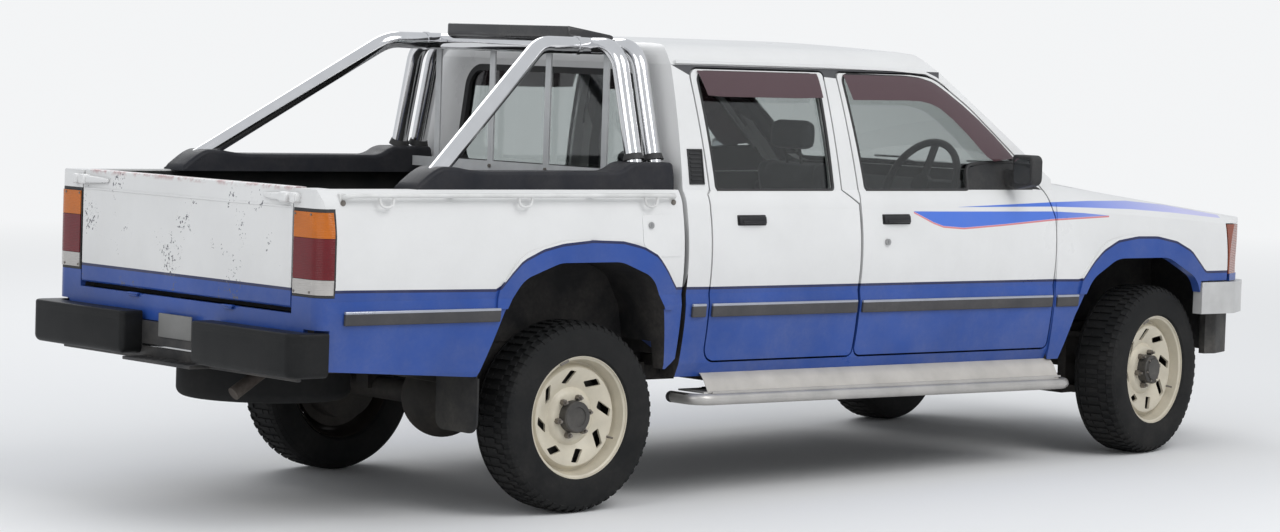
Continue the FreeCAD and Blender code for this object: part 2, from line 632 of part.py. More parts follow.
# Tailgate, hung on two pins near its lower edge
gate_in = BED_REAR_X + TAILGATE_T
tailgate = side_plate([(BED_REAR_X, TAILGATE_LOW_Z, 10), (gate_in, TAILGATE_LOW_Z, 10),
                       (gate_in, BELT_Z + 4, 8), (BED_REAR_X + 8, BELT_Z + 4, 8),
                       (BED_REAR_X, GATE_CREASE_Z, 0)],
                      -TAILGATE_HALF, TAILGATE_HALF)
gate_hole = rod((GATE_X, -700, GATE_Z), (GATE_X, -TAILGATE_HALF + 40, GATE_Z), GATE_PIN_R + SHAFT_GAP)
tailgate = tailgate.cut(gate_hole).cut(mirrored(gate_hole))
save("tailgate", tipped(tailgate))

# Black liner standing on the bed floor, around the wheelhouses
liner_out = box(BED_REAR_X + 105, BED_FRONT_X - 45, -740, 740, BED_FLOOR_Z, BELT_Z - 6)
liner_in = box(BED_REAR_X + 80, BED_FRONT_X - 45 - LINER_T, -740 + LINER_T, 740 - LINER_T,
               BED_FLOOR_Z + LINER_T, 1300)
house_wrap = side_plate([(-440, BED_FLOOR_Z, 0), (-413, 805, 80), (-253, 898, 120), (253, 898, 120),
                         (393, 805, 80), (402, BED_FLOOR_Z, 0)], -740, -552)
liner = liner_out.cut(liner_in)
liner = liner.fuse(house_wrap).fuse(mirrored(house_wrap))
liner = liner.cut(house).cut(mirrored(house)).cut(post).cut(mirrored(post))
save("bed_liner", tipped(liner.removeSplitter()))

# Rear bumper: two moulded pads on a steel step
PAD_PLAN = [(-1252, -216, 14), (-1252, -835, 50), (-1105, -835, 10), (-1105, -790, 10),
            (-1165, -770, 20), (-1165, -216, 10)]
PAD_CORE = [(-1247, -221, 9), (-1247, -830, 45), (-1100, -830, 0), (-1100, -700, 0), (-1100, -221, 0)]
pad = plan_plate(PAD_PLAN, 480, 632)
step_shelf = box(-1248, -1146, -214, 214, 462, 474)
step_back = box(-1166, -1147, -740, 740, 462, 598)
step_arm = box(-1150, -950, -370, -320, 500, 545)
tow_hole = Part.makeCylinder(12.5, 40, V(-1215, 0, 450))
pad_groove = plan_plate(PAD_PLAN, 610, 616).cut(plan_plate(PAD_CORE, 600, 625))
pad = pad.cut(pad_groove).cut(step_back)
step = fused([step_shelf, step_back, step_arm, mirrored(step_arm)]).cut(tow_hole)
save("rear_bumper", tipped(Part.makeCompound([pad, mirrored(pad), step])))

# Roll bar: two hoops by the cab, two diagonal legs and their joining rings
TUBE_R = 31.0
HOOP_X = 305.0
HOOP_STEP = 92.0
BAR_Z = 1618.0
hoops = []
for hoop_x in (HOOP_X, HOOP_X + HOOP_STEP):
    hoops.append(bent_bar([(hoop_x, -724, 1150), (hoop_x, -600, BAR_Z), (hoop_x, 600, BAR_Z),
                           (hoop_x, 724, 1150)], TUBE_R, 110))
leg = bent_bar([(-622, -736, 1150), (55, -462, BAR_Z), (HOOP_X, -452, BAR_Z)], TUBE_R, 140)
ring = rod((222, -455, BAR_Z), (238, -455, BAR_Z), TUBE_R + 3)
joined_leg = fused([leg, ring]).cut(hoops[0])
spacer = rod((HOOP_X, -420, BAR_Z), (HOOP_X + HOOP_STEP, -420, BAR_Z), 20).cut(hoops[0]).cut(hoops[1])

# Guard of flat bars between the hoops' feet and the top tube
guard_rail = box(333, 340, -718, 718, 1135, 1172)
guard_bars = [box(333, 339, y - 16, y + 16, 1140, 1622) for y in (-504, -168, 168, 504)]
guard = fused([guard_rail] + guard_bars).cut(hoops[0]).cut(hoops[1])
tubes = hoops + [joined_leg, mirrored(joined_leg), spacer, mirrored(spacer)]
save("roll_bar", tipped(Part.makeCompound(tubes + [guard])))

# Wind visor over the hoops
VISOR_PLAN = [(262, -362, 20), (380, -488, 20), (380, 488, 20), (262, 362, 20)]
visor_block = plan_plate(VISOR_PLAN, 1600, 1720)
visor_side = side_plate([(262, 1640, 0), (380, 1640, 0), (380, 1655, 0), (300, 1684, 20),
                         (262, 1692, 6)], -500, 500)
visor = visor_block.common(visor_side)
for hoop_x in (HOOP_X, HOOP_X + HOOP_STEP):
    visor = visor.cut(rod((hoop_x, -520, BAR_Z), (hoop_x, 520, BAR_Z), TUBE_R))

# Moulded covers along the bed sides, round the feet of the roll bar
COVER_SIDE = [(-780, BELT_Z, 0), (430, BELT_Z, 0), (430, 1208, 16), (235, 1206, 40), (180, 1172, 40),
              (-480, 1172, 60), (-570, 1190, 60), (-700, 1188, 30), (-785, 1130, 12)]
cover = side_plate(COVER_SIDE, -790, -655)
for bar in hoops + [leg, guard_rail]:
    cover = cover.cut(bar)
save("roll_bar_covers", tipped(Part.makeCompound([cover, mirrored(cover), visor])))

# Side steps
step_tube = bent_bar([(530, -700, 350), (530, -845, 350), (2490, -845, 345), (2490, -700, 345)], 21, 60)
step_plate = box(560, 2440, -842, -700, 372, 378)
step_brackets = [box(x - 20, x + 20, -790, -RAIL_Y, 396, 426) for x in (760, 1500, 2250)]
step_drops = [box(x - 20, x + 20, -790, -760, 374, 400) for x in (760, 1500, 2250)]
step_skirt = box(600, 2400, -846, -838, 346, 378)
side_step = fused([step_tube, step_plate] + step_brackets + step_drops + [step_skirt])
save("side_steps", tipped(both_sides(side_step)))

# Ladder frame: two rails with their kick-up over the axle, cross members and outriggers
RAIL_SIDE = [(-1085, 545, 0), (280, 545, 60), (470, RAIL_LOW_Z, 60), (WHEELBASE - 245, RAIL_LOW_Z, 60),
             (WHEELBASE - 135, 425, 60), (WHEELBASE + 135, 425, 60),
             (WHEELBASE + 245, RAIL_LOW_Z, 60), (3450, RAIL_LOW_Z, 40), (3560, 470, 0),
             (3560, 650, 0), (3520, 650, 0), (3490, RAIL_TOP_Z, 40), (462, RAIL_TOP_Z, 60),
             (300, 655, 60), (-1085, 655, 0)]
rail = side_plate(RAIL_SIDE, -RAIL_Y, -RAIL_Y + RAIL_W)
CROSS_MEMBERS = [
    # rear face x, half width, lower face z, upper face z
    (-1085, RAIL_Y - RAIL_W, 560, 630), (-820, RAIL_Y - RAIL_W, 562, 622),
    (-440, RAIL_Y - RAIL_W, 570, 640), (330, RAIL_Y - RAIL_W, 520, 590),
    (1290, RAIL_Y - 5, 338, RAIL_LOW_Z), (1880, RAIL_Y - 5, 338, RAIL_LOW_Z),
    (3380, RAIL_Y - RAIL_W, 395, 465),
]
cross_members = [box(x, x + 60, -wide, wide, low, high) for x, wide, low, high in CROSS_MEMBERS]
outriggers = [box(x, x + 80, -700, -RAIL_Y + 5, 440, 480) for x in (640, 1420, 2200)]
bed_mounts = [box(x, x + 80, -RAIL_Y, -RAIL_Y + RAIL_W, 650, BED_FLOOR_Z - BED_FLOOR_T)
              for x in (-900, 200)]
floor_mounts = [box(x, x + 80, -690, -620, 475, FLOOR_Z - FLOOR_T) for x in (640, 1420, 2200)]
engine_mount = box(WHEELBASE - 135, WHEELBASE - 55, -RAIL_Y + RAIL_W - 5, -240, 470, 560)
bumper_horn = box(3520, 3675, -RAIL_Y, -RAIL_Y + RAIL_W, 603, 650)
spare_hanger = rod((-790, 0, 600), (-790, 0, 448), 14)
fuel_tank = box(640, 1240, 110, RAIL_Y - RAIL_W, 320, 490)
right_rail = fused([rail, bumper_horn, engine_mount] + outriggers + bed_mounts + floor_mounts)
right_rail = right_rail.cut(front_bumper)
save("chassis_frame", tipped(Part.makeCompound([right_rail, mirrored(right_rail), fuel_tank])))
save("cross_members", tipped(fused(cross_members + [spare_hanger])))

# Engine, gearbox and transfer case as one plain block
engine = box(2600, 3230, -240, 240, 520, 960)
gearbox = box(1560, 2605, -130, 130, 500, TUNNEL_Z - 22)
transfer = box(1520, 1740, -210, 120, 400, 496)
transfer_neck = box(1560, 1700, -120, 110, 490, 520)
power_block = fused([engine, gearbox, transfer, transfer_neck])

# Propeller shafts to both axles
rear_shaft = rod((100, 0, HUB_Z), (1524, 0, 445), 34).cut(Part.makeSphere(150.3, V(0, 0, HUB_Z)))
front_shaft = rod((1720, -150, 440), (WHEELBASE - 45, -150, HUB_Z), 26)
front_shaft = front_shaft.cut(Part.makeSphere(98.3, V(WHEELBASE, -150, HUB_Z)))
save("driveline", fused([tipped(power_block), grounded(rear_shaft), grounded(front_shaft)]))

# Rear axle with leaf springs and shackles
axle_tube = rod((0, -610, HUB_Z), (0, 610, HUB_Z), 42)
diff = Part.makeSphere(150, V(0, 0, HUB_Z))
stubs = rod((0, -745, HUB_Z), (0, 745, HUB_Z), 30)
drum = rod((0, -680, HUB_Z), (0, -600, HUB_Z), 140)
springs = side_plate([(-690, 520, 0), (0, 385, 300), (600, 440, 0), (600, 475, 0), (0, 425, 300),
                      (-690, 560, 0)], -450, -386)
pads = box(-60, 60, -455, -381, HUB_Z, 405)
rear_axle = fused([axle_tube, diff, stubs, drum, mirrored(drum), springs, mirrored(springs),
                   pads, mirrored(pads)])
save("rear_suspension", grounded(rear_axle))

# Front cross member, arms and differential
KINGPIN_Y = 600.0
KINGPIN_R = 10.0
front_diff = Part.makeSphere(98, V(WHEELBASE, -150, HUB_Z))
half_shafts = rod((WHEELBASE, -563, HUB_Z), (WHEELBASE, 563, HUB_Z), 22)
low_arm = plan_plate([(WHEELBASE - 125, -370, 10), (WHEELBASE + 145, -370, 10), (WHEELBASE + 25, -619, 16),
                      (WHEELBASE - 25, -619, 16)], 225, 255)
high_arm = plan_plate([(WHEELBASE - 95, -390, 10), (WHEELBASE + 95, -390, 10), (WHEELBASE + 25, -619, 16),
                       (WHEELBASE - 25, -619, 16)], 455, 475)
tower = box(WHEELBASE - 85, WHEELBASE + 85, -430, -RAIL_Y, 225, 510)
sub_member = box(WHEELBASE - 105, WHEELBASE + 115, -430, 430, 220, 270)
diff_hanger = box(WHEELBASE - 25, WHEELBASE + 25, -200, 200, 240, 345)
front_suspension = fused([front_diff, half_shafts, diff_hanger, low_arm, high_arm, tower, sub_member,
                          mirrored(low_arm), mirrored(high_arm), mirrored(tower)])
for side in (-1, 1):
    kingpin_hole = rod((WHEELBASE, side * KINGPIN_Y, 200), (WHEELBASE, side * KINGPIN_Y, 500),
                       KINGPIN_R + SHAFT_GAP)
    front_suspension = front_suspension.cut(kingpin_hole)
save("front_suspension", grounded(front_suspension))

# Steering knuckles, drawn straight ahead and turned with the wheel
knuckle_post = box(WHEELBASE - 30, WHEELBASE + 30, -KINGPIN_Y - 30, -KINGPIN_Y + 16, 262, 448)
knuckle_hub = rod((WHEELBASE, -KINGPIN_Y, HUB_Z), (WHEELBASE, -670, HUB_Z), 60)
knuckle_stub = rod((WHEELBASE, -KINGPIN_Y, HUB_Z), (WHEELBASE, -745, HUB_Z), 30)
kingpin = rod((WHEELBASE, -KINGPIN_Y, 240), (WHEELBASE, -KINGPIN_Y, 470), KINGPIN_R)
disc = rod((WHEELBASE, -655, HUB_Z), (WHEELBASE, -640, HUB_Z), 130)
steer_arm = box(WHEELBASE - 170, WHEELBASE, -KINGPIN_Y - 12, -KINGPIN_Y + 12, 300, 325)
knuckle = fused([knuckle_post, knuckle_hub, knuckle_stub, kingpin, disc, steer_arm])


# Turn a front-corner part about its own kingpin to the steering angle of the rest pose
def steered(shape, side):
    moved = shape.copy()
    moved.rotate(V(WHEELBASE, side * KINGPIN_Y, 0), V(0, 0, 1), STEER_REST_DEG)
    return moved


save("knuckle_right", grounded(steered(knuckle, -1)))
save("knuckle_left", grounded(steered(mirrored(knuckle), 1)))

# Tyre and rim, drawn about the axle line of a right-hand wheel at the rear
half = TYRE_W / 2.0
TYRE_ROWS = [(-half + 14, 216, 0), (-half, 262, 40), (-half + 6, 318, 20), (-half + 34, TYRE_R, 30),
             (half - 34, TYRE_R, 30), (half - 6, 318, 20), (half, 262, 40), (half - 14, 216, 0)]


# A ring turned round the wheel's own axle line at the origin
def turned(rows):
    face = rounded_outline(rows, lambda p: V(0, p.x, p.y))
    return face.revolve(V(0, 0, 0), V(0, 1, 0), 360)


tyre = turned(TYRE_ROWS)
barrel = turned([(-88.4, 215.9, 0), (88.4, 215.9, 0), (88.4, 196, 0), (-80, 196, 0), (-88.4, 208, 0)])
disc_plate = turned([(-60, 197, 0), (-48, 197, 0), (-28, 90, 0), (-28, 34, 0), (-40, 34, 0),
                     (-42, 95, 0)])
hub_barrel = turned([(-88, 0, 0), (-88, HUB_R, 0), (-20, HUB_R, 0), (-20, 60, 0), (20, 60, 0), (20, 0, 0)])
hub_bore = rod((0, -30, 0), (0, 60, 0), 30 + SHAFT_GAP)
rim = fused([barrel, disc_plate, hub_barrel]).cut(hub_bore)
for i in range(8):
    slot = box(-14, 14, -100, 0, -30, 30)
    slot.rotate(V(0, 0, 0), V(0, 1, 0), SLOT_LEAN)
    slot.translate(V(0, 0, SLOT_R))
    slot.rotate(V(0, 0, 0), V(0, 1, 0), i * 45.0 + 10)
    rim = rim.cut(slot)


# A wheel part moved to its place: side is -1 right or 1 left
def at_wheel(shape, x, side):
    moved = shape if side < 0 else mirrored(shape)
    moved = moved.copy()
    moved.translate(V(x, side * HALF_TRACK, HUB_Z))
    return moved


WHEELS = [("rear_right", 0, -1), ("rear_left", 0, 1),
          ("front_right", WHEELBASE, -1), ("front_left", WHEELBASE, 1)]
for name, x, side in WHEELS:
    for kind, shape in (("tyre", tyre), ("rim", rim)):
        placed = at_wheel(shape, x, side)
        if x > 0:
            placed = steered(placed, side)
        save(kind + "_" + name, grounded(placed))

# Seats, dashboard and steering wheel
seat_base = box(1480, 1960, -650, -195, 600, 760)
seat_back = side_plate([(1400, 720, 40), (1560, 740, 20), (1430, 1230, 40), (1300, 1220, 40)], -650, -195)
seat_foot = box(1520, 1920, -600, -200, FLOOR_Z, 610)
seat_head = box(1290, 1380, -540, -310, 1235, 1370)
seat_posts = box(1330, 1345, -435, -415, 1200, 1240)
seat = fused([seat_base, seat_back, seat_foot, seat_posts, seat_head])
bench = fused([box(640, 1120, -640, 640, FLOOR_Z, 760),
               side_plate([(520, 740, 20), (700, 750, 20), (620, 1180, 30), (535, 1180, 20)], -640, 640)])
save("seats", tipped(Part.makeCompound([seat, mirrored(seat), bench])))
dashboard = side_plate([(2180, 800, 30), (2395, 720, 0), (2395, 1100, 0), (2250, 1130, 40),
                        (2140, 1060, 40)], -PILLAR_Y + 42, PILLAR_Y - 42)
wheel_at = V(STEERING_X, STEERING_Y, STEERING_Z)
column_dir = V(math.cos(math.radians(COLUMN_DEG)), 0, -math.sin(math.radians(COLUMN_DEG)))
column = Part.makeCylinder(28, 200, wheel_at + column_dir * 28, column_dir)
column_bore = Part.makeCylinder(10 + SHAFT_GAP, 125, wheel_at, column_dir)
save("dashboard", tipped(fused([dashboard, column]).cut(column_bore)))
wheel_ring = Part.makeTorus(185, 15, V(0, 0, 0), V(0, 0, 1))
wheel_hub = Part.makeCylinder(45, 30, V(0, 0, -20))
spokes = [box(-178, 178, -14, 14, -12, 4), box(-14, 14, -178, 0, -12, 4)]
steering_wheel = fused([wheel_ring, wheel_hub] + spokes)
steering_wheel = steering_wheel.fuse(Part.makeCylinder(10, 110, V(0, 0, -110)))
steering_wheel.rotate(V(0, 0, 0), V(0, 1, 0), COLUMN_DEG - 90)
steering_wheel.translate(wheel_at)
save("steering_wheel", tipped(steering_wheel))

# Exhaust, spare wheel and mud flaps under the body
EXHAUST_Y = -264.0
exhaust = bent_bar([(2650, EXHAUST_Y, 600), (2650, EXHAUST_Y, 440), (300, EXHAUST_Y, 440),
                    (60, -358, 470), (-1030, -358, 470), (-1160, -358, 388)], 24, 60)
muffler = Part.makeCylinder(62, 400, V(820, -240, 430), V(1, 0, 0))
hangers = [box(1300, 1340, EXHAUST_Y - 10, EXHAUST_Y + 10, 390, 425), box(-1010, -980, -366, -350, 480, 500)]
save("exhaust", tipped(fused([exhaust, muffler] + hangers)))
spare = turned([(-100, 150, 0), (-95, 310, 30), (95, 310, 30), (100, 150, 0)])
spare_disc = Part.makeCylinder(155, 12, V(0, -4, 0), V(0, -1, 0))
spare = fused([spare, spare_disc])
spare.rotate(V(0, 0, 0), V(1, 0, 0), -90)
spare.translate(V(-790, 0, 432))
save("spare_wheel", tipped(spare))
flap = cross_plate([(-800, 262, 45), (-565, 262, 45), (-565, 640, 0), (-735, 640, 0), (-735, 455, 0),
                   (-800, 455, 0)], -448, -440)
save("mud_flaps", tipped(both_sides(flap)))
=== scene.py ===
import bpy
import bmesh
import json
import math
from mathutils import Matrix, Vector

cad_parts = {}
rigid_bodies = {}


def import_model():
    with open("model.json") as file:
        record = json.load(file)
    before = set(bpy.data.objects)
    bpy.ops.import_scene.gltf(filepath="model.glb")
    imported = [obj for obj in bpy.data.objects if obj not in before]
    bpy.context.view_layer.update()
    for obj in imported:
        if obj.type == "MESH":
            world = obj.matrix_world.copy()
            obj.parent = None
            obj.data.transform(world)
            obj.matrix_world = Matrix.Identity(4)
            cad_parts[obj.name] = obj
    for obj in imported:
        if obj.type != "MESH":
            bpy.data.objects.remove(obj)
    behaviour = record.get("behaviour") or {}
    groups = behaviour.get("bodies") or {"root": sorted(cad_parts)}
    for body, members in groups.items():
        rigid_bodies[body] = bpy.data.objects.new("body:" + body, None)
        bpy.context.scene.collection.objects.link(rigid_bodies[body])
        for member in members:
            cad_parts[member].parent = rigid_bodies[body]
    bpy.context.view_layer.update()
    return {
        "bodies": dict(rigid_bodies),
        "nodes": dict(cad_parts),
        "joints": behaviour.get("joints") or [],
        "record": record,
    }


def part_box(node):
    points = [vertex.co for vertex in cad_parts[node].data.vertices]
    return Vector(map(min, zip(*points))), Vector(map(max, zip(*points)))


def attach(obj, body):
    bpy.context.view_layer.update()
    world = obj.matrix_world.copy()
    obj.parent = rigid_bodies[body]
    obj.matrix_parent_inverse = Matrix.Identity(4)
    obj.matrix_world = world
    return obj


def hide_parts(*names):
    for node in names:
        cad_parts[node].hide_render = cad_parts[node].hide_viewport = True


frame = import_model()
nodes = frame["nodes"]

# Camera: behind the truck's right rear corner at standing eye height, with a long lens.
# Its place and aim were worked out from the wheels and the panel lines of the photograph.
yaw, pitch, roll = 0.867184, 0.070942, 0.0133495
ahead = Vector((math.cos(yaw) * math.cos(pitch), math.sin(yaw) * math.cos(pitch), -math.sin(pitch)))
level = Vector((math.sin(yaw), -math.cos(yaw), 0))
upright = level.cross(ahead)
rightward = level * math.cos(roll) + upright * math.sin(roll)
upward = upright * math.cos(roll) - level * math.sin(roll)
camera = bpy.data.objects.new("camera", bpy.data.cameras.new("camera"))
bpy.context.scene.collection.objects.link(camera)
camera.matrix_world = Matrix((
    (rightward.x, upward.x, -ahead.x, -9.4514),
    (rightward.y, upward.y, -ahead.y, -10.8083),
    (rightward.z, upward.z, -ahead.z, 1.8510),
    (0, 0, 0, 1)))
SENSOR_WIDTH, PHOTO_WIDTH, MIDDLE_ROW = 36, 1280, 266
FOCAL_PIXELS, AIM_ROW = 3678.55498, 251.948037
camera.data.sensor_width = SENSOR_WIDTH
camera.data.lens = FOCAL_PIXELS * SENSOR_WIDTH / PHOTO_WIDTH
camera.data.shift_y = -(MIDDLE_ROW - AIM_ROW) / PHOTO_WIDTH
camera.data.clip_end = 200
bpy.context.scene.camera = camera
bpy.context.scene.view_settings.view_transform = "Standard"

# Floor and soft light: a pale studio floor, a bright even sky and two broad lamps.
# The floor looks white to the camera and in reflections, and still takes the truck's shadow.
world = bpy.data.worlds.new("studio")
bpy.context.scene.world = world
world.use_nodes = True
BACKDROP = (0.9, 0.91, 0.92, 1)
tree = world.node_tree
sky = tree.nodes["Background"]
sky.inputs["Color"].default_value = (0.93, 0.96, 1.0, 1)
sky.inputs["Strength"].default_value = 0.72
white_sky = tree.nodes.new("ShaderNodeBackground")
white_sky.inputs["Color"].default_value = BACKDROP
white_sky.inputs["Strength"].default_value = 1.0
path = tree.nodes.new("ShaderNodeLightPath")
seen = tree.nodes.new("ShaderNodeMath")
seen.operation = "MAXIMUM"
tree.links.new(path.outputs["Is Camera Ray"], seen.inputs[0])
tree.links.new(path.outputs["Is Transmission Ray"], seen.inputs[1])
pick = tree.nodes.new("ShaderNodeMixShader")
tree.links.new(seen.outputs[0], pick.inputs["Fac"])
tree.links.new(sky.outputs[0], pick.inputs[1])
tree.links.new(white_sky.outputs[0], pick.inputs[2])
tree.links.new(pick.outputs[0], tree.nodes["World Output"].inputs["Surface"])
bm = bmesh.new()
bmesh.ops.create_circle(bm, cap_ends=True, radius=28, segments=64)
mesh = bpy.data.meshes.new("floor")
bm.to_mesh(mesh)
bm.free()
floor = bpy.data.objects.new("floor", mesh)
bpy.context.scene.collection.objects.link(floor)
pale = bpy.data.materials.new("pale_floor")
pale.use_nodes = True
tree = pale.node_tree
shader = tree.nodes["Principled BSDF"]
shader.inputs["Base Color"].default_value = (0.80, 0.80, 0.80, 1)
shader.inputs["Roughness"].default_value = 0.85
far_glow = tree.nodes.new("ShaderNodeEmission")
far_glow.inputs["Color"].default_value = BACKDROP
fade = tree.nodes.new("ShaderNodeMixShader")
reach = tree.nodes.new("ShaderNodeVectorMath")
reach.operation = "LENGTH"
tree.links.new(tree.nodes.new("ShaderNodeTexCoord").outputs["Object"], reach.inputs[0])
outward = tree.nodes.new("ShaderNodeMapRange")
outward.inputs["From Min"].default_value = 3.5
outward.inputs["From Max"].default_value = 15.0
tree.links.new(reach.outputs["Value"], outward.inputs["Value"])
tree.links.new(outward.outputs["Result"], fade.inputs["Fac"])
tree.links.new(shader.outputs[0], fade.inputs[1])
tree.links.new(far_glow.outputs[0], fade.inputs[2])
tree.links.new(fade.outputs[0], tree.nodes["Material Output"].inputs["Surface"])
mesh.materials.append(pale)
for name, place, size, power, aim in (
        ("key_light", (0.5, -8, 8), 7, 470, (0, 0, 0.8)),
        ("fill_light", (-8, -2, 5), 6, 130, (-0.5, 0, 0.8)),
        ("back_light", (2, 8, 7), 6, 200, (0, 0, 0.8))):
    lamp = bpy.data.objects.new(name, bpy.data.lights.new(name, "AREA"))
    lamp.data.shape = "DISK"
    lamp.data.size = size
    lamp.data.energy = power
    lamp.location = place
    lamp.rotation_euler = (Vector(aim) - Vector(place)).to_track_quat("-Z", "Y").to_euler()
    bpy.context.scene.collection.objects.link(lamp)


# Shared finishes: dust that settles low and in patches, fine wear and moulded grain.
# Two groups of nodes give masks for dust and chips, and each material places them with its own values.
def feed(tree, socket, value):
    if isinstance(value, (int, float)):
        socket.default_value = value
    elif isinstance(value, tuple):
        socket.default_value = (*value[:3], 1)
    else:
        tree.links.new(value, socket)


def math_node(tree, kind, a, b=None, clamp=False):
    node = tree.nodes.new("ShaderNodeMath")
    node.operation = kind
    node.use_clamp = clamp
    feed(tree, node.inputs[0], a)
    if b is not None:
        feed(tree, node.inputs[1], b)
    return node.outputs[0]


def noise(tree, coords, scale, detail=4.0, roughness=0.55):
    node = tree.nodes.new("ShaderNodeTexNoise")
    for label, value in (("Vector", coords), ("Scale", scale), ("Detail", detail), ("Roughness", roughness)):
        feed(tree, node.inputs[label], value)
    return node.outputs["Fac"]


def spread(tree, value, low, high, to_low=0.0, to_high=1.0):
    node = tree.nodes.new("ShaderNodeMapRange")
    for label, number in (("Value", value), ("From Min", low), ("From Max", high),
                          ("To Min", to_low), ("To Max", to_high)):
        feed(tree, node.inputs[label], number)
    return node.outputs["Result"]


def mix_colour(tree, factor, a, b):
    node = tree.nodes.new("ShaderNodeMix")
    node.data_type = "RGBA"
    for number, value in ((0, factor), (6, a), (7, b)):
        feed(tree, node.inputs[number], value)
    return node.outputs[2]


def object_coords(tree):
    return tree.nodes.new("ShaderNodeTexCoord").outputs["Object"]


def waves(tree, direction, scale):
    node = tree.nodes.new("ShaderNodeTexWave")
    node.bands_direction = direction
    node.inputs["Scale"].default_value = scale
    tree.links.new(object_coords(tree), node.inputs["Vector"])
    return node.outputs["Fac"]


def mask_group(name, values):
    group = bpy.data.node_groups.new(name, "ShaderNodeTree")
    for label, value in values.items():
        group.interface.new_socket(label, in_out="INPUT", socket_type="NodeSocketFloat").default_value = value
    group.interface.new_socket("Mask", in_out="OUTPUT", socket_type="NodeSocketFloat")
    return group, group.nodes.new("NodeGroupInput"), group.nodes.new("NodeGroupOutput"), object_coords(group)


def mask_from(tree, group, values):
    node = tree.nodes.new("ShaderNodeGroup")
    node.node_tree = group
    for label, value in values.items():
        node.inputs[label].default_value = value
    return node.outputs["Mask"]


def start_material(name):
    material = bpy.data.materials.new(name)
    material.use_nodes = True
    return material, material.node_tree, object_coords(material.node_tree)


def dress(tree, values):
    for label, value in values.items():
        feed(tree, tree.nodes["Principled BSDF"].inputs[label], value)


def add_bump(tree, height, strength, distance):
    bump = tree.nodes.new("ShaderNodeBump")
    bump.inputs["Strength"].default_value = strength
    bump.inputs["Distance"].default_value = distance
    tree.links.new(height, bump.inputs["Height"])
    dress(tree, {"Normal": bump.outputs["Normal"]})


dust, inlet, outlet, place = mask_group("road_dust", {"Amount": 0.3, "Reach": 0.9})
split = dust.nodes.new("ShaderNodeSeparateXYZ")
dust.links.new(place, split.inputs[0])
low_down = spread(dust, split.outputs["Z"], inlet.outputs["Reach"], 0.15)
patchy = spread(dust, noise(dust, place, 5.5, 6.0, 0.65), 0.35, 0.75)
fine = spread(dust, noise(dust, place, 70.0, 3.0), 0.3, 0.8, 0.5, 1.0)
heavier = math_node(dust, "ADD", math_node(dust, "MULTIPLY", low_down, 0.75), 0.25)
shares = math_node(dust, "MULTIPLY", math_node(dust, "MULTIPLY", heavier, patchy), fine)
dust.links.new(math_node(dust, "MULTIPLY", shares, inlet.outputs["Amount"], True), outlet.inputs["Mask"])

chips, inlet, outlet, place = mask_group("paint_chips", {"Amount": 0.5, "Scale": 40.0})
clusters = spread(chips, noise(chips, place, 6.0, 2.0), 0.45, 0.65)
spots = noise(chips, place, inlet.outputs["Scale"], 4.0, 0.7)
wear = math_node(chips, "MULTIPLY", inlet.outputs["Amount"], math_node(chips, "MULTIPLY", clusters, 0.3))
edge = math_node(chips, "SUBTRACT", 0.86, wear)
chips.links.new(spread(chips, spots, edge, math_node(chips, "ADD", edge, 0.015)), outlet.inputs["Mask"])


def finish_material(name, colour, rough, metal=0.0, grain=0.0, grain_scale=400.0, dusty=0.25, reach=0.9,
                    tint=0.06, dust_colour=(0.36, 0.33, 0.29), coat=0.0, gloss=0.5):
    material, tree, coords = start_material(name)
    uneven = noise(tree, coords, 9.0, 5.0)
    darker = tuple(c * (1 - tint * 2.5) for c in colour)
    lighter = tuple(min(1, c * (1 + tint)) for c in colour)
    film = mask_from(tree, dust, {"Amount": dusty, "Reach": reach})
    base = mix_colour(tree, spread(tree, uneven, 0.3, 0.7), darker, lighter)
    matt = math_node(tree, "ADD", spread(tree, uneven, 0.3, 0.7, rough - 0.05, rough + 0.07),
                     math_node(tree, "MULTIPLY", film, 0.35), True)
    dress(tree, {"Base Color": mix_colour(tree, film, base, dust_colour), "Roughness": matt, "Metallic": metal,
                 "Specular IOR Level": gloss, "Coat Weight": coat, "Coat Roughness": 0.12})
    if grain > 0:
        add_bump(tree, noise(tree, coords, grain_scale, 3.0), grain, 0.001)
    return material


# Body paint: dusty white over blue, sprayed on pressed steel under a clear coat.
# A dark pinstripe tops the blue, which runs up and over both wheel arches; the doors carry two tapered stripes.
RAKE = math.radians(1.43)
body_place = (Matrix.Translation((-1.235, 0, 0)) @ Matrix.Translation((1.5, 0, 0.7)) @ Matrix.Rotation(RAKE, 4, "Y")
              @ Matrix.Translation((-1.5, 0, -0.7)))
WHITE = (0.72, 0.72, 0.715)
BLUE = (0.017, 0.066, 0.300)
NAVY = (0.010, 0.016, 0.075)
STRIPE_BLUE = (0.07, 0.17, 0.62)
LAVENDER = (0.50, 0.50, 0.74)
ROSE = (0.62, 0.22, 0.24)


def line_along(tree, x, rows, low=0.0, high=2.0):
    start, stop = rows[0][0], rows[-1][0]
    node = tree.nodes.new("ShaderNodeFloatCurve")
    points = node.mapping.curves[0].points
    spots = [((px - start) / (stop - start), (pz - low) / (high - low)) for px, pz in rows]
    points[0].location = spots[0]
    points[1].location = spots[-1]
    for spot in spots[1:-1]:
        points.new(*spot)
    for point in points:
        point.handle_type = "VECTOR"
    node.mapping.update()
    tree.links.new(spread(tree, x, start, stop), node.inputs["Value"])
    return spread(tree, node.outputs[0], 0.0, 1.0, low, high)


def between(tree, value, low, high, soft=0.0006):
    above = math_node(tree, "MULTIPLY", math_node(tree, "SUBTRACT", value, low), 1 / soft, True)
    below = math_node(tree, "MULTIPLY", math_node(tree, "SUBTRACT", high, value), 1 / soft, True)
    return math_node(tree, "MULTIPLY", above, below)


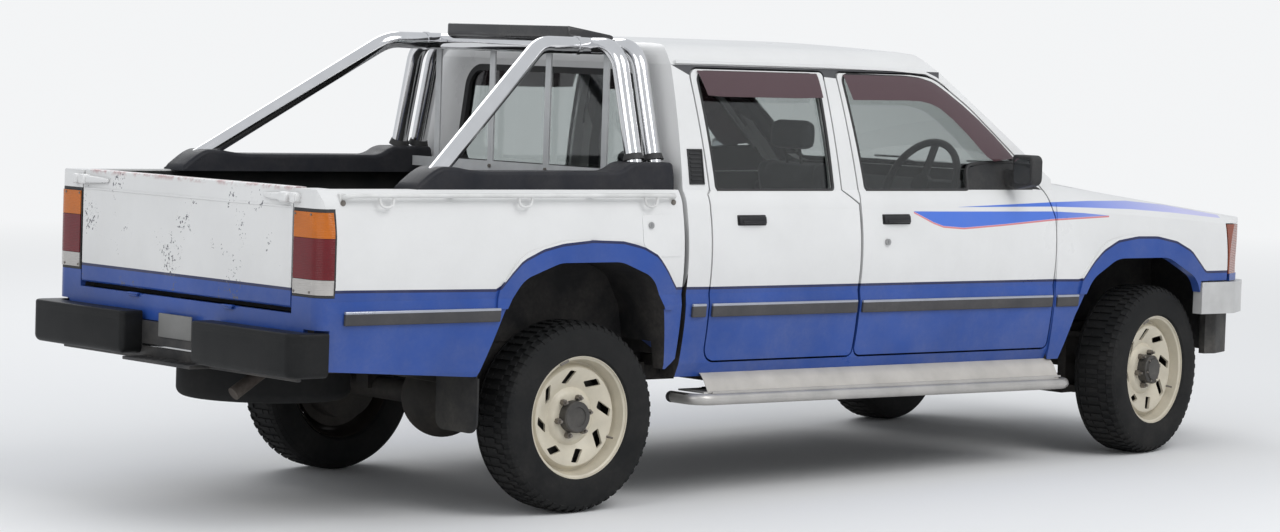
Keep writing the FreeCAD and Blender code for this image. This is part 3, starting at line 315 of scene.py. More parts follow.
BLUE_TOP = [(-1.30, 0.773), (-1.042, 0.775), (-0.393, 0.769), (-0.341, 0.827), (-0.297, 0.868), (-0.209, 0.905),
            (-0.119, 0.924), (0.017, 0.935), (0.155, 0.930), (0.248, 0.911), (0.319, 0.878), (0.367, 0.824),
            (0.411, 0.762), (0.6, 0.760), (2.4, 0.760), (2.542, 0.758), (2.598, 0.825), (2.655, 0.872),
            (2.741, 0.911), (2.859, 0.926), (2.979, 0.925), (3.101, 0.904), (3.194, 0.866), (3.258, 0.808),
            (3.289, 0.779), (3.8, 0.779)]
LEAF_LOW = [(1.610, 1.029), (1.711, 0.988), (1.765, 0.973), (1.874, 0.966), (2.093, 0.978), (2.375, 0.997),
            (2.700, 1.009)]
LEAF_TOP = [(1.610, 1.030), (1.75, 1.029), (2.0, 1.028), (2.375, 1.027), (2.55, 1.020), (2.700, 1.0095)]
WEDGE_LOW = [(1.852, 1.0445), (2.381, 1.045), (2.60, 1.040), (2.847, 1.033), (3.10, 1.018), (3.42, 0.993)]
WEDGE_TOP = [(1.852, 1.0455), (2.381, 1.063), (2.60, 1.067), (2.847, 1.066), (3.10, 1.048), (3.42, 1.006)]


def paint(name, chipped=0.25, striped=True, dusty=0.28, chip_colour=(0.30, 0.17, 0.13), scuffed_top=False):
    material, tree, coords = start_material(name)
    back = body_place.inverted()
    turn = tree.nodes.new("ShaderNodeMapping")
    turn.inputs["Rotation"].default_value = back.to_euler()
    turn.inputs["Location"].default_value = back.to_translation()
    tree.links.new(coords, turn.inputs["Vector"])
    split = tree.nodes.new("ShaderNodeSeparateXYZ")
    tree.links.new(turn.outputs["Vector"], split.inputs[0])
    x, y, z = split.outputs
    cloudy = spread(tree, noise(tree, coords, 3.0, 6.0), 0.3, 0.7)
    colour = mix_colour(tree, cloudy, tuple(c * 0.93 for c in WHITE), WHITE)
    blue = mix_colour(tree, cloudy, tuple(c * 0.86 for c in BLUE), tuple(c * 1.08 for c in BLUE))
    top = line_along(tree, x, BLUE_TOP)
    under = math_node(tree, "MULTIPLY", math_node(tree, "SUBTRACT", top, z), 1500.0, True)
    colour = mix_colour(tree, under, colour, blue)
    pin = between(tree, z, math_node(tree, "SUBTRACT", top, 0.0105), top)
    colour = mix_colour(tree, pin, colour, NAVY)
    if striped:
        sides = between(tree, math_node(tree, "ABSOLUTE", y), 0.70, 2.0)
        for low_rows, top_rows in ((LEAF_LOW, LEAF_TOP), (WEDGE_LOW, WEDGE_TOP)):
            span = math_node(tree, "MULTIPLY", between(tree, x, low_rows[0][0], low_rows[-1][0]), sides)
            low_line = line_along(tree, x, low_rows, 0.9, 1.1)
            top_line = line_along(tree, x, top_rows, 0.9, 1.1)
            if low_rows is LEAF_LOW:
                rim = between(tree, z, math_node(tree, "SUBTRACT", low_line, 0.007), low_line)
                colour = mix_colour(tree, math_node(tree, "MULTIPLY", span, rim), colour, ROSE)
            band = math_node(tree, "MULTIPLY", span, between(tree, z, low_line, top_line))
            fading = mix_colour(tree, spread(tree, x, 2.35, 3.2), STRIPE_BLUE, LAVENDER)
            colour = mix_colour(tree, band, colour, fading)
    film = mask_from(tree, dust, {"Amount": dusty, "Reach": 1.0})
    colour = mix_colour(tree, film, colour, (0.34, 0.32, 0.29))
    worn = mask_from(tree, chips, {"Amount": chipped, "Scale": 85.0 if scuffed_top else 55.0})
    colour = mix_colour(tree, worn, colour, chip_colour)
    if scuffed_top:
        scratches = spread(tree, noise(tree, coords, 26.0, 5.0, 0.7), 0.46, 0.58)
        rubbed = math_node(tree, "MULTIPLY", spread(tree, z, 1.096, 1.112), scratches)
        colour = mix_colour(tree, math_node(tree, "MULTIPLY", rubbed, 0.85), colour, (0.42, 0.24, 0.24))
    rough = math_node(tree, "ADD", spread(tree, cloudy, 0.0, 1.0, 0.34, 0.26),
                      math_node(tree, "MULTIPLY", film, 0.5), True)
    dress(tree, {"Base Color": colour, "Roughness": rough, "Specular IOR Level": 0.32, "Coat Weight": 0.12,
                 "Coat Roughness": 0.1})
    add_bump(tree, noise(tree, coords, 260.0, 2.0), 0.05, 0.002)
    return material


body_paint = paint("body_paint")
plain_paint = paint("roof_paint", striped=False)
gate_paint = paint("tailgate_paint", chipped=1.0, striped=False, dusty=0.38, chip_colour=(0.10, 0.10, 0.115),
                   scuffed_top=True)
black_trim = finish_material("black_moulded_trim", (0.028, 0.029, 0.031), 0.55, grain=0.04, grain_scale=300,
                             dusty=0.3, reach=1.4, gloss=0.22)
cabin_grey = finish_material("cabin_lining", (0.075, 0.075, 0.08), 0.85, grain=0.04, grain_scale=300, dusty=0.1)
underseal = finish_material("black_underseal", (0.022, 0.022, 0.023), 0.75, grain=0.6, grain_scale=180, dusty=0.75,
                            reach=0.9, dust_colour=(0.19, 0.17, 0.15), gloss=0.12)


def coat_node(name, outer, extras=(), choose=None, crisp=32):
    mesh = nodes[name].data
    mesh.materials.clear()
    for finish in (outer, *extras):
        mesh.materials.append(finish)
    back = body_place.inverted()
    turn = back.to_3x3()
    for face in mesh.polygons:
        if choose:
            face.material_index = choose(back @ face.center, turn @ face.normal)
        face.use_smooth = True
    mesh.set_sharp_from_angle(angle=math.radians(crisp))


def cab_part(centre, normal):
    inward = normal.y * centre.y < 0 and abs(normal.y) > 0.5
    if centre.z < 0.51 and (abs(centre.y) < 0.76 or normal.z < -0.5):
        return 2
    if centre.z < 0.72 and centre.x < 0.60 and normal.x < -0.5 and abs(centre.y) < 0.80:
        return 2
    if centre.x > 2.36 and abs(centre.y) < 0.80 and centre.z < 1.0 and normal.x > 0.3:
        return 2
    if 0.50 < centre.x < 2.49 and centre.z > 0.53 and abs(centre.y) < 0.735:
        if centre.z > 1.60 and normal.z > 0:
            return 0
        if centre.z > 1.5 and normal.z > 0.3:
            return 0
        if centre.x > 2.3 and normal.z > 0.3 and centre.z > 1.0:
            return 0
        if inward or abs(centre.y) < 0.70:
            return 1
    return 0


def door_part(centre, normal):
    along, high = centre.x, centre.z
    if abs(centre.y) > 0.80 and high > 1.104 and 2.10 < along < 2.20:
        return 2
    if 1.112 < high < 1.2158 and 1.925 < along < 2.337 - (high - 1.104) * 1.143 and abs(centre.y) < 0.80:
        return 2
    return 1 if normal.y * centre.y < 0 and abs(normal.y) > 0.7 and high < 1.11 else 0


def bed_part(centre, normal):
    wide = abs(centre.y)
    if centre.z < 0.712 and wide < 0.76 and centre.x > -1.12:
        return 1
    if -0.5 < centre.x < 0.46 and centre.z < 0.90 and (wide < 0.62 or wide < 0.825 and abs(normal.y) < 0.9):
        return 1
    return 0


def fender_part(centre, normal):
    inside = normal.y * centre.y < 0 and abs(normal.y) > 0.2
    return 1 if inside or abs(centre.y) < 0.79 and centre.z < 0.9 else 0


def panel_part(centre, normal):
    wide = abs(centre.y)
    grille = wide < 0.4405 and 0.768 < centre.z < 0.942 and centre.x > 3.545
    if grille and (centre.x < 3.621 or abs(normal.x) < 0.5):
        return 1
    return 1 if centre.x < 3.56 and wide < 0.70 else 0


coat_node("cab_shell", body_paint, (cabin_grey, underseal), cab_part)
for name in ("door_front_right", "door_front_left", "door_rear_right", "door_rear_left"):
    coat_node(name, body_paint, (cabin_grey, black_trim), door_part)
coat_node("front_fenders", body_paint, (underseal,), fender_part)
coat_node("bonnet", body_paint)
coat_node("front_panel", body_paint, (black_trim,), panel_part)
coat_node("front_structure", body_paint, (underseal,), lambda c, n: 0 if c.z > 1.02 and c.x < 2.9 else 1)
coat_node("bed", body_paint, (underseal,), bed_part)
coat_node("tailgate", gate_paint)


# Wheels: pressed steel discs painted cream, with slanted slots, on all-terrain tyres.
# Each tyre has a moulded carcass with rows of tread blocks; each hub has its nuts and a dark cap, locking at the front.
AXLE_HEIGHT = 0.341
STEERED = math.radians(11)
TREAD_STEPS = 112
NUT_CIRCLE = 0.0698


def new_piece(name, bm, material, body="truck", place=body_place, smooth=35.0, closed=True):
    if closed:
        bmesh.ops.remove_doubles(bm, verts=bm.verts, dist=0.00005)
        bmesh.ops.recalc_face_normals(bm, faces=bm.faces)
        if all(edge.is_manifold for edge in bm.edges) and bm.calc_volume(signed=True) < 0:
            bmesh.ops.reverse_faces(bm, faces=bm.faces)
    mesh = bpy.data.meshes.new(name)
    bm.to_mesh(mesh)
    bm.free()
    if place is not None:
        mesh.transform(place)
        if place.determinant() < 0:
            mesh.flip_normals()
    for face in mesh.polygons:
        face.use_smooth = True
    mesh.set_sharp_from_angle(angle=math.radians(smooth))
    piece = bpy.data.objects.new(name, mesh)
    bpy.context.scene.collection.objects.link(piece)
    for finish in material if isinstance(material, tuple) else (material,):
        mesh.materials.append(finish)
    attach(piece, body)
    return piece


def posed(spot, degrees, axis):
    return Matrix.Translation(spot) @ Matrix.Rotation(math.radians(degrees), 4, axis)


def stud(bm, segments, foot, tip, depth, matrix):
    bmesh.ops.create_cone(bm, cap_ends=True, segments=segments, radius1=foot, radius2=tip, depth=depth, matrix=matrix)


def soften(bm, parts, offset, segments, kind="EDGES"):
    bmesh.ops.bevel(bm, geom=parts, offset=offset, segments=segments, affect=kind, profile=0.5, material=-1)


def cut_out(piece, cutter_mesh, solver):
    cutter = bpy.data.objects.new("cutter", cutter_mesh)
    bpy.context.scene.collection.objects.link(cutter)
    hole = piece.modifiers.new("hole", "BOOLEAN")
    hole.operation = "DIFFERENCE"
    hole.solver = solver
    hole.object = cutter
    bpy.context.view_layer.objects.active = piece
    bpy.ops.object.modifier_apply(modifier="hole")
    bpy.data.objects.remove(cutter)


def ring_of(bm, rows, steps=96, close=False):
    verts = [bm.verts.new((0, y, r)) for y, r in rows]
    pairs = list(zip(verts, verts[1:]))
    if close:
        pairs.append((verts[-1], verts[0]))
    edges = [bm.edges.new(p) for p in pairs]
    return bmesh.ops.spin(bm, geom=verts + edges, cent=(0, 0, 0), axis=(0, 1, 0), angle=math.tau,
                          steps=steps, use_merge=True)


tyre_black = finish_material("tyre_rubber", (0.014, 0.0145, 0.015), 0.72, grain=0.25, grain_scale=700, dusty=0.42,
                             reach=0.75, dust_colour=(0.075, 0.07, 0.065), gloss=0.12)
cream_paint = finish_material("cream_wheel_paint", (0.60, 0.55, 0.44), 0.42, grain=0.1, dusty=0.35, reach=0.7,
                              dust_colour=(0.25, 0.21, 0.17), coat=0.2)
hub_black = finish_material("hub_cast", (0.05, 0.048, 0.046), 0.6, metal=0.3, grain=0.4, grain_scale=150, dusty=0.4,
                            reach=0.7)
LOCKING_CAP = [(-0.036, 0.0), (-0.036, 0.058), (-0.078, 0.0565), (-0.082, 0.052), (-0.082, 0.044), (-0.088, 0.042),
               (-0.088, 0.0)]
PLAIN_CAP = [(-0.036, 0.0), (-0.036, 0.058), (-0.074, 0.0565), (-0.080, 0.052), (-0.080, 0.036), (-0.076, 0.034),
             (-0.076, 0.0)]
nut_steel = finish_material("nut_steel", (0.22, 0.2, 0.18), 0.5, metal=0.8, dusty=0.3, reach=0.7)


def tyre_mesh():
    bm = bmesh.new()
    carcass = [(-0.086, 0.2165), (-0.097, 0.226), (-0.1015, 0.262), (-0.1000, 0.292), (-0.0945, 0.313),
               (-0.0860, 0.3265), (-0.066, 0.3325), (-0.0625, 0.3325), (-0.030, 0.3345), (-0.0265, 0.3345),
               (0.0265, 0.3345), (0.030, 0.3345), (0.0625, 0.3325), (0.066, 0.3325), (0.0860, 0.3265),
               (0.0945, 0.313), (0.1000, 0.292), (0.1015, 0.262), (0.097, 0.226), (0.086, 0.2165)]
    ring_of(bm, carcass, steps=TREAD_STEPS, close=True)
    bmesh.ops.remove_doubles(bm, verts=bm.verts, dist=0.0001)
    bmesh.ops.recalc_face_normals(bm, faces=bm.faces)
    blocks = []
    for face in bm.faces:
        centre = face.calc_center_median()
        radius = math.hypot(centre.x, centre.z)
        turn = math.atan2(centre.x, centre.z) % math.tau
        step = int(turn / math.tau * TREAD_STEPS)
        if 0.0275 < abs(centre.y) < 0.029 or 0.063 < abs(centre.y) < 0.0655 or radius < 0.315:
            continue
        row = 0 if abs(centre.y) < 0.026 else 1 if abs(centre.y) < 0.062 else 2
        if (step + (centre.y > 0) + row) % 2 == 0 or row == 2 and step % 2 == 0:
            blocks.append(face)
    bmesh.ops.inset_individual(bm, faces=blocks, thickness=0.0012, depth=0.0)
    lifted = bmesh.ops.extrude_discrete_faces(bm, faces=blocks)["faces"]
    for face in lifted:
        for vert in face.verts:
            flat = Vector((vert.co.x, 0, vert.co.z))
            grow = 0.0065 if abs(vert.co.y) < 0.07 else 0.0045
            vert.co += flat.normalized() * grow
    return bm


def disc_mesh():
    bm = bmesh.new()
    profile = [(-0.0884, 0.2155), (-0.0884, 0.2205), (-0.086, 0.2205), (-0.083, 0.214), (-0.079, 0.207),
               (-0.060, 0.2045), (-0.040, 0.2005), (-0.030, 0.196), (-0.032, 0.190), (-0.047, 0.183), (-0.055, 0.176),
               (-0.056, 0.168), (-0.050, 0.150), (-0.042, 0.128), (-0.034, 0.112), (-0.030, 0.104), (-0.034, 0.098),
               (-0.041, 0.092), (-0.043, 0.080), (-0.042, 0.062), (-0.042, 0.050), (-0.036, 0.050), (-0.036, 0.080),
               (-0.035, 0.092), (-0.024, 0.108), (-0.040, 0.150), (-0.048, 0.172), (-0.030, 0.188), (0.010, 0.190),
               (0.070, 0.200), (0.0884, 0.2125), (0.0884, 0.2155), (0.060, 0.208), (-0.060, 0.208)]
    ring_of(bm, profile, steps=96, close=True)
    bmesh.ops.remove_doubles(bm, verts=bm.verts, dist=0.00005)
    bmesh.ops.recalc_face_normals(bm, faces=bm.faces)
    if bm.calc_volume(signed=True) < 0:
        bmesh.ops.reverse_faces(bm, faces=bm.faces)
    # Faces on the disc's back and inside its barrel take the second, near-black finish: some grime, and mostly painted
    # shade for the dark inside of the wheel.
    for face in bm.faces:
        spot = face.calc_center_median()
        radius = math.hypot(spot.x, spot.z)
        outward = (face.normal.x * spot.x + face.normal.z * spot.z) / max(0.001, radius)
        hidden = face.normal.y > 0.1 or outward < -0.5 and spot.y > -0.030
        if spot.y > -0.0475 and radius > 0.045 and hidden:
            face.material_index = 1
    return bm


# Near-black finish for the disc's back and barrel: grime, with painted shade for the dark inside of the wheel seen
# through the slots.
inside_grime_and_shade = finish_material("wheel_disc_grime_and_shade", (0.020, 0.016, 0.013), 0.85, grain=0.4, dusty=0.4,
                               dust_colour=(0.05, 0.042, 0.036), gloss=0.22)
for corner in ("rear_right", "rear_left", "front_right", "front_left"):
    body = "wheel_" + corner
    low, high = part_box("tyre_" + corner)
    centre = (low + high) / 2
    side = 1 if "left" in corner else -1
    steer = STEERED if "front" in corner else 0
    at = Matrix.Translation((centre.x, centre.y, AXLE_HEIGHT)) @ Matrix.Rotation(steer, 4, "Z")
    if side > 0:
        at = at @ Matrix.Scale(-1, 4, (0, 1, 0))
    tyre = new_piece("tyre_tread_" + corner, tyre_mesh(), tyre_black, body, at, smooth=28)
    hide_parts("tyre_" + corner)
    disc = new_piece("wheel_disc_" + corner, disc_mesh(), (cream_paint, inside_grime_and_shade), body, at,
                     smooth=40, closed=False)
    cutters = bmesh.new()
    made = bmesh.ops.create_cube(cutters, size=1)["verts"]
    bmesh.ops.scale(cutters, verts=made, vec=(0.026, 0.075, 0.056))
    for vert in made:
        vert.co.z += vert.co.x * 0.5
    upright_edges = [e for e in cutters.edges if abs((e.verts[0].co - e.verts[1].co).normalized().y) > 0.9]
    soften(cutters, upright_edges, 0.005, 3)
    for degrees, shift in ((44, (0, -0.0470, 0.143)), (-8, (0, 0, 0))):
        bmesh.ops.rotate(cutters, verts=cutters.verts, cent=(0, 0, 0),
                         matrix=Matrix.Rotation(math.radians(degrees), 3, "Y"))
        bmesh.ops.translate(cutters, verts=cutters.verts, vec=shift)
    bmesh.ops.spin(cutters, geom=cutters.verts[:] + cutters.edges[:] + cutters.faces[:], cent=(0, 0, 0),
                   axis=(0, 1, 0), angle=math.tau * 7 / 8, steps=7, use_duplicate=True)
    bmesh.ops.recalc_face_normals(cutters, faces=cutters.faces)
    cutter_mesh = bpy.data.meshes.new("slots")
    cutters.to_mesh(cutter_mesh)
    cutters.free()
    cutter_mesh.transform(at)
    if side > 0:
        cutter_mesh.flip_normals()
    cut_out(disc, cutter_mesh, "FAST")
    disc.data.set_sharp_from_angle(angle=math.radians(40))
    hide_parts("rim_" + corner)
    bm = bmesh.new()
    locking = "front" in corner
    ring_of(bm, LOCKING_CAP if locking else PLAIN_CAP, steps=40)
    new_piece("hub_cap_" + corner, bm, hub_black, body, at, smooth=30)
    bm = bmesh.new()
    for i in range(6):
        turn = Matrix.Rotation(math.radians(60 * i + 20), 4, "Y")
        for radius, depth, y, sides in ((0.0115, 0.020, -0.052, 6), (0.0055, 0.014, -0.066, 12)):
            stud(bm, sides, radius, radius * 0.94, depth, turn @ posed((0, y, NUT_CIRCLE), 90, "X"))
        if locking:
            stud(bm, 6, 0.0050, 0.0046, 0.006, turn @ posed((0, -0.084, 0.0475), 90, "X"))
    valve_turn = Matrix.Rotation(math.radians(118), 4, "Y")
    stud(bm, 12, 0.0050, 0.0036, 0.034, valve_turn @ posed((0, -0.062, 0.1755), 70, "X"))
    weight = Matrix.Rotation(math.radians(-20), 4, "Y") @ Matrix.Translation((0, -0.0875, 0.2110))
    made = bmesh.ops.create_cube(bm, size=1, matrix=weight @ Matrix.Diagonal((0.040, 0.006, 0.010, 1)))["verts"]
    soften(bm, list({e for v in made for e in v.link_edges}), 0.002, 2)
    new_piece("wheel_nuts_" + corner, bm, nut_steel, body, at, smooth=30)

# Side mouldings: extruded dark vinyl strips with a bright bead on top, stuck along the body side.
# Each panel carries its own length, so the doors' strips part at the door gaps and swing with them.
def side_y(z):
    arcs = (((0.430, 0.778), (0.455, 0.789), (0.480, 0.800)), ((0.480, 0.800), (0.590, 0.821), (0.697, 0.833)),
            ((0.697, 0.833), (0.716, 0.8305), (0.735, 0.828)), ((0.735, 0.828), (0.900, 0.839), (1.040, 0.822)),
            ((1.040, 0.822), (1.078, 0.812), (1.110, 0.792)), ((1.110, 0.792), (1.335, 0.750), (1.560, 0.690)))
    for (z0, y0), (z1, y1), (z2, y2) in arcs:
        if z <= z2 or z2 == 1.560:
            first = y0 * (z - z1) * (z - z2) / ((z0 - z1) * (z0 - z2))
            second = y1 * (z - z0) * (z - z2) / ((z1 - z0) * (z1 - z2))
            third = y2 * (z - z0) * (z - z1) / ((z2 - z0) * (z2 - z1))
            return first + second + third


def wrap(bm, side):
    for vert in bm.verts:
        vert.co.y = side * (side_y(vert.co.z) + vert.co.y)


def block(bm, x0, x1, y0, y1, z0, z1, bevel=0.0, segments=2):
    made = bmesh.ops.create_cube(bm, size=1)["verts"]
    bmesh.ops.scale(bm, verts=made, vec=(x1 - x0, y1 - y0, z1 - z0))
    bmesh.ops.translate(bm, verts=made, vec=((x0 + x1) / 2, (y0 + y1) / 2, (z0 + z1) / 2))
    if bevel > 0:
        soften(bm, list({e for v in made for e in v.link_edges}), bevel, segments)


def fresh(grown):
    return [part for part in grown["geom"] if isinstance(part, bmesh.types.BMVert)]


def thicken(bm):
    return fresh(bmesh.ops.extrude_face_region(bm, geom=bm.faces[:]))


def outline(bm, points):
    verts = [bm.verts.new(spot) for spot in points]
    bm.faces.new(verts)
    return verts


def open_frame(bm, width):
    face = bm.faces[:][0]
    bmesh.ops.inset_region(bm, faces=[face], thickness=width, use_boundary=True, use_even_offset=True)
    bmesh.ops.delete(bm, geom=[face], context="FACES_KEEP_BOUNDARY")


def swept_line(bm, points):
    verts = [bm.verts.new(spot) for spot in points]
    line = [bm.edges.new(pair) for pair in zip(verts, verts[1:])]
    return fresh(bmesh.ops.extrude_edge_only(bm, edges=line))


def slice_across(bm, direction, levels):
    for level in levels:
        bmesh.ops.bisect_plane(bm, geom=bm.verts[:] + bm.edges[:] + bm.faces[:],
                               plane_co=[level * part for part in direction], plane_no=direction)


SIDES = ((-1, "right"), (1, "left"))
vinyl = finish_material("moulding_vinyl", (0.055, 0.054, 0.058), 0.5, grain=0.15, dusty=0.3, gloss=0.22)
bright_bead = finish_material("moulding_bead", (0.42, 0.44, 0.50), 0.3, metal=0.55, dusty=0.2)
MOULDINGS = [
    ("bed", "truck", -1.046, -0.385, 0.655, 0.703), ("cab_corner", "truck", 0.496, 0.561, 0.650, 0.699),
    ("rear_door", "door_rear", 0.592, 1.318, 0.650, 0.699), ("front_door", "door_front", 1.346, 2.380, 0.650, 0.697),
    ("fender", "truck", 2.407, 2.530, 0.650, 0.697),
]
for side, word in SIDES:
    for name, body, x0, x1, z0, z1 in MOULDINGS:
        rider = body if body == "truck" else body + "_" + word
        bm = bmesh.new()
        block(bm, x0, x1, -0.001, 0.012, z0, z1 - 0.008, 0.004, 3)
        wrap(bm, side)
        new_piece(f"moulding_{name}_{word}", bm, vinyl, rider)
        bm = bmesh.new()
        block(bm, x0, x1, -0.001, 0.011, z1 - 0.010, z1, 0.003, 2)
        wrap(bm, side)
        new_piece(f"moulding_bead_{name}_{word}", bm, bright_bead, rider)

# Door handles and locks: black pull flaps in recessed plates, with a round key lock below each front one.
# They are moulded plastic, held from inside the door by two nuts.
satin_black = finish_material("handle_plastic", (0.022, 0.022, 0.024), 0.35, grain=0.15, grain_scale=1200, dusty=0.15,
                              gloss=0.22)
key_metal = finish_material("key_metal", (0.42, 0.42, 0.42), 0.3, metal=0.9, dusty=0.1)
for side, word in SIDES:
    for place_name, x0, x1, lock_x in (("rear", 0.705, 0.850, None), ("front", 1.440, 1.590, 1.462)):
        rider = f"door_{place_name}_{word}"
        bm = bmesh.new()
        block(bm, x0, x1, -0.012, 0.002, 0.979, 1.021, 0.006, 3)
        block(bm, x0 + 0.006, x1 - 0.006, 0.002, 0.012, 0.986, 1.015, 0.006, 3)
        block(bm, x0 + 0.020, x1 - 0.020, 0.011, 0.017, 0.988, 0.999, 0.003, 2)
        wrap(bm, side)
        new_piece(f"door_handle_{place_name}_{word}", bm, satin_black, rider)
        if lock_x:
            bm = bmesh.new()
            stud(bm, 32, 0.0125, 0.0115, 0.012, posed((lock_x, 0.003, 0.915), 90, "X"))
            block(bm, lock_x - 0.0012, lock_x + 0.0012, 0.008, 0.0105, 0.909, 0.921)
            wrap(bm, side)
            new_piece(f"door_lock_{word}", bm, key_metal, rider)

# Window seals: black extruded rubber round each pane, pressed into the door's frame.
# Each follows the edge of its pane and swings with the door.
seal_rubber = finish_material("seal_rubber", (0.02, 0.02, 0.021), 0.6, dusty=0.2)
GLASS_EDGES = {
    "front": [(1.383, 1.108), (1.932, 1.108), (1.932, 1.188), (1.953, 1.207), (2.042, 1.2155), (2.206, 1.2175),
              (2.186, 1.235), (2.090, 1.319), (1.970, 1.413), (1.880, 1.474), (1.810, 1.514), (1.740, 1.531),
              (1.665, 1.537), (1.346, 1.540), (1.327, 1.522)],
    "rear": [(0.633, 1.108), (1.217, 1.108), (1.200, 1.515), (1.175, 1.536), (0.625, 1.536), (0.598, 1.515)],
}


def bent_rod(bm, points, radius, sides=3):
    curve = bpy.data.curves.new("rod", "CURVE")
    curve.dimensions = "3D"
    curve.bevel_depth = radius
    curve.bevel_resolution = sides
    curve.use_fill_caps = True
    curve.resolution_u = 5
    spline = curve.splines.new("NURBS")
    spline.points.add(len(points) - 1)
    for point, spot in zip(spline.points, points):
        point.co = (*spot, 1)
    spline.order_u = 3
    spline.use_endpoint_u = True
    holder = bpy.data.objects.new("rod", curve)
    made = bpy.data.meshes.new_from_object(holder)
    bm.from_mesh(made)
    bpy.data.objects.remove(holder)
    bpy.data.curves.remove(curve)
    bpy.data.meshes.remove(made)


for side, word in SIDES:
    for place_name, rows in GLASS_EDGES.items():
        rider = f"door_{place_name}_{word}"
        bm = bmesh.new()
        path = []
        for (x0, z0), (x1, z1) in zip(rows, rows[1:] + rows[:1]):
            steps = max(1, round(math.hypot(x1 - x0, z1 - z0) / 0.035))
            for i in range(steps):
                x, z = x0 + (x1 - x0) * i / steps, z0 + (z1 - z0) * i / steps
                path.append((x, side * (side_y(z) - 0.004), z))
        bent_rod(bm, path + path[:2], 0.0075, 1)
        new_piece(f"window_seal_{place_name}_{word}", bm, seal_rubber, rider)

# Tail lamps: three moulded lenses in a dark bezel on each corner post, amber over red over clear.
# The lens band wraps round the corner onto the body side.
amber_lens = finish_material("amber_lens", (0.50, 0.13, 0.008), 0.22, dusty=0.06, coat=0.15, gloss=0.3)
red_lens = finish_material("red_lens", (0.13, 0.003, 0.008), 0.22, dusty=0.06, coat=0.15, gloss=0.3)
clear_lens = finish_material("clear_lens", (0.42, 0.40, 0.38), 0.2, dusty=0.3, coat=0.6)
lamp_bezel = finish_material("lamp_bezel", (0.035, 0.035, 0.037), 0.5, dusty=0.3, gloss=0.22)
for material in (amber_lens, red_lens, clear_lens):
    add_bump(material.node_tree, waves(material.node_tree, "Z", 55.0), 0.35, 0.002)
coat_node("tail_lamps", lamp_bezel)
CORNER_Y, CORNER_RADIUS, LENS_THICK = 0.7778, 0.055, 0.0035
LENS_PLAN = [(-1.1453, 0.6745), (-1.1453, 0.735), (-1.1453, 0.7778), (-1.1440, 0.7891), (-1.1404, 0.8000),
             (-1.1345, 0.8098), (-1.1266, 0.8189), (-1.1172, 0.8256), (-1.1095, 0.8292), (-1.1019, 0.8316),
             (-1.0925, 0.8336)]
for side, word in SIDES:
    for name, z0, z1, finish in (("clear", 0.758, 0.808, clear_lens), ("red", 0.8095, 0.9465, red_lens),
                                 ("amber", 0.948, 1.034, amber_lens)):
        bm = bmesh.new()
        lifted = swept_line(bm, [(x, y, z0) for x, y in LENS_PLAN])
        bmesh.ops.translate(bm, verts=lifted, vec=(0, 0, z1 - z0))
        slice_across(bm, (0, 0, 1), (0.83, 0.86, 0.89, 0.92, 0.97, 1.00))
        for vert in bm.verts:
            vert.co.y = side * min(vert.co.y, side_y(vert.co.z) - 0.0005)
        bmesh.ops.recalc_face_normals(bm, faces=bm.faces)
        if sum(face.normal.x for face in bm.faces) > 0:
            bmesh.ops.reverse_faces(bm, faces=bm.faces)
        for vert in thicken(bm):
            turned = math.asin(min(0.977, max(0.0, (abs(vert.co.y) - CORNER_Y) / CORNER_RADIUS)))
            vert.co.x -= LENS_THICK * math.cos(turned)
            vert.co.y += side * LENS_THICK * math.sin(turned)
        new_piece(f"tail_lens_{name}_{word}", bm, finish)
    bm = bmesh.new()
    for z in (1.026, 0.766):
        for y in (0.682, 0.773):
            stud(bm, 14, 0.0042, 0.0036, 0.003, posed((-1.1492, side * y, z), 90, "Y"))
    new_piece(f"tail_lamp_screws_{word}", bm, nut_steel, closed=False)

# Tailgate details: a cast latch handle and hub near each upper corner, a striker on each post, and the pressed crease.
# They are painted with the gate and the posts that they are bolted to.
for side, word in SIDES:
    bm = bmesh.new()
    block(bm, -1.172, -1.140, side * 0.490, side * 0.615, 1.064, 1.092, 0.009, 3)
    for vert in bm.verts:
        inner = (0.615 - abs(vert.co.y)) / 0.125
        vert.co.x = -1.146 + (vert.co.x + 1.146) * (1 - 0.75 * inner)
        vert.co.z = 1.078 + (vert.co.z - 1.078) * (1 - 0.45 * inner)
    new_piece(f"gate_latch_{word}", bm, gate_paint, "tailgate")
    bm = bmesh.new()
    block(bm, -1.176, -1.140, side * 0.612, side * 0.657, 1.060, 1.096, 0.009, 3)
    new_piece(f"gate_latch_hub_{word}", bm, gate_paint, "tailgate")
    bm = bmesh.new()
    block(bm, -1.172, -1.140, side * 0.670, side * 0.702, 1.060, 1.096, 0.008, 3)
    block(bm, -1.168, -1.143, side * 0.701, side * 0.707, 1.066, 1.092, 0.002, 2)
    new_piece(f"gate_striker_{word}", bm, plain_paint)
bm = bmesh.new()
block(bm, -1.1485, -1.1430, -0.652, 0.652, 1.0415, 1.0490, 0.0022, 3)
new_piece("gate_crease", bm, gate_paint, "tailgate")

# Number-plate lamps: two small white-bodied lamps fixed to the blue panel below the tailgate.
# Each shines down on the blank plate from a dark recess.
bm = bmesh.new()
for side in (-1, 1):
    block(bm, -1.158, -1.144, side * 0.268, side * 0.332, 0.6835, 0.6915, 0.002, 2)
    block(bm, -1.155, -1.144, side * 0.276, side * 0.324, 0.6760, 0.6840, 0.002, 2)
new_piece("number_plate_lamps", bm, plain_paint)

